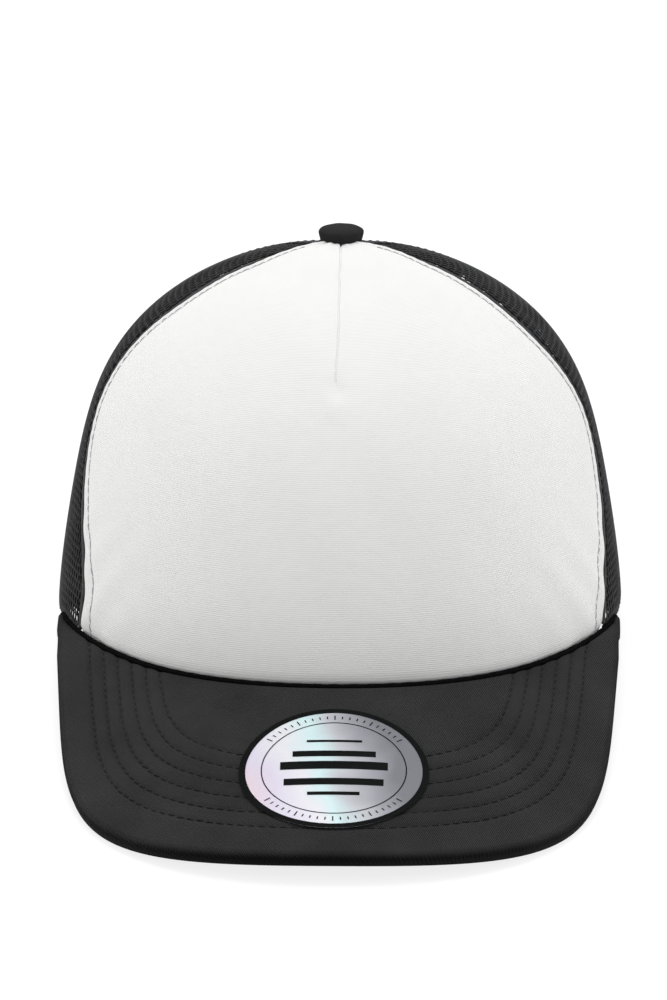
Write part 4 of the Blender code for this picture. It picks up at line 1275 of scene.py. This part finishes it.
patches = [ring_patch(0.02545, STICKER_RADIUS + 0.00025, 0, 2 * math.pi, 192), ring_patch(0.02065, 0.02100, 0, 2 * math.pi, 160)]
for base_a in (0.0, math.pi):
    for k in range(-10, 11):
        a = base_a + math.radians(5.4) * k
        long = 0.0006 if k % 5 else 0.0010
        patches.append(ring_patch(0.0232 - long, 0.0232 + long, a - 0.008, a + 0.008, 1))
patches += [bar_patch(-0.0080, 0.0080, 0.0118, 0.0128), bar_patch(-0.0120, 0.0120, 0.0052, 0.0078),
            bar_patch(-0.0155, 0.0155, -0.0006, 0.0030), bar_patch(-0.0143, 0.0143, -0.0078, -0.0048),
            bar_patch(-0.0075, 0.0075, -0.0125, -0.0110)]
sticker_print = join_patches("sticker_print", patches, M_INK)
# ------------------------------------------------------------ button
BTOP = np.array([0.0, APEX_SHIFT, CROWN_HEIGHT + GAP])
nr, na = 46, 120
k, a = np.meshgrid(np.linspace(0, 1, nr + 1), np.linspace(0, 2 * math.pi, na + 1)[:-1], indexing="ij")
ph = np.minimum(k / 0.62, 1.0) * math.pi / 2
low_k = np.clip((k - 0.62) / 0.38, 0, 1)
rad = BUTTON_RADIUS * 0.985 * np.sin(ph) ** 0.86 * (1 - 0.10 * low_k ** 1.5)
hgt = 0.0035 + 0.00195 * np.cos(ph) ** 0.92 - 0.0031 * low_k
fold = 0.00016 * smooth((k - 0.55) / 0.4) * np.sin(9 * a + 1.2 * np.sin(2 * a))
rad = rad - np.abs(fold)
outer_pts = np.stack([rad * np.sin(a), rad * np.cos(a), hgt - 0.00005 * bell(k - 0.4, 0.2) * np.sin(7 * a)], -1) + BTOP
tuck = np.stack([(rad[-1] - 0.0010) * np.sin(a[-1]), (rad[-1] - 0.0010) * np.cos(a[-1]), 0 * a[-1] + 0.0002], -1) + BTOP
pts = np.concatenate([outer_pts.reshape(-1, 3), tuck])
i, j = np.meshgrid(np.arange(na), np.arange(nr + 1))
i, j = i.reshape(-1), j.reshape(-1)
kk = (i + 1) % na
q = np.stack([j * na + i, (j + 1) * na + i, (j + 1) * na + kk, j * na + kk], -1)
uvb = np.concatenate([np.stack([k * 0.0095 * np.sin(a), k * 0.0095 * np.cos(a)], -1).reshape(-1, 2),
                      np.stack([0.0102 * np.sin(a[-1]), 0.0102 * np.cos(a[-1])], -1)])
caps = np.arange(na)[::-1][None]
button = make("button_cloth", pts, [q, caps], M_BUTTON, uv=uvb)
fix_normals(button)
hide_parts("button_cover")


# ------------------------------------------------------------ kept CAD nodes
def dress(node, mat):
    ob = frame["nodes"][node]
    for s in ob.material_slots:
        s.material = mat
    if not ob.material_slots:
        print("no slot on", node)


dress("visor_board", M_BOARD)
dress("button_shell", M_STEEL)
dress("button_tack", M_STEEL)
for n in ("hole_strap", "hole_strap_root", "peg_strap", "peg_strap_root"):
    dress(n, M_PLASTIC)

# ------------------------------------------------------------ floor and light
floor_mat = Nodes("floor_pale", rough=0.9, specular=0.1)
pos = floor_mat.coords("object")
floor_mat.b.inputs["Emission Color"].default_value = (1, 1, 1, 1)
floor_mat.b.inputs["Emission Strength"].default_value = 0.80
fl = floor_mat.ramp(floor_mat.noise(pos, 6.0, 2.0), [(0.3, rgb(140, 140, 140)), (0.7, rgb(146, 146, 146))])
floor_mat.done(fl)
me = bpy.data.meshes.new("floor")
s = 4.0
me.from_pydata([(-s, -s, -0.0003), (s, -s, -0.0003), (s, s, -0.0003), (-s, s, -0.0003)], [], [(0, 1, 2, 3)])
me.materials.append(floor_mat.m)
floor = bpy.data.objects.new("floor", me)
bpy.context.scene.collection.objects.link(floor)

wld = bpy.data.worlds.new("studio")
bpy.context.scene.world = wld
wld.use_nodes = True
wld.node_tree.nodes["Background"].inputs[0].default_value = (1.0, 1.0, 1.0, 1.0)
wld.node_tree.nodes["Background"].inputs[1].default_value = 0.56


def area(name, at, aim, size, power):
    d = bpy.data.lights.new(name, "AREA")
    d.shape = "DISK"
    d.size = size
    d.energy = power
    o = bpy.data.objects.new(name, d)
    bpy.context.scene.collection.objects.link(o)
    o.location = at
    o.rotation_euler = (Vector(aim) - Vector(at)).to_track_quat("-Z", "Y").to_euler()
    return o


area("top", (0.0, 0.35, 1.5), (0, 0.0, 0.05), 0.9, 10.5)
area("left", (-1.35, -0.25, 0.45), (0, 0, 0.06), 0.8, 2.3)
area("right", (1.35, -0.25, 0.45), (0, 0, 0.06), 0.8, 2.3)
area("rear", (0.1, 1.3, 1.0), (0, 0, 0.05), 1.0, 1.5)
bpy.context.scene.view_settings.view_transform = "Standard"
bpy.context.scene.view_settings.look = "None"
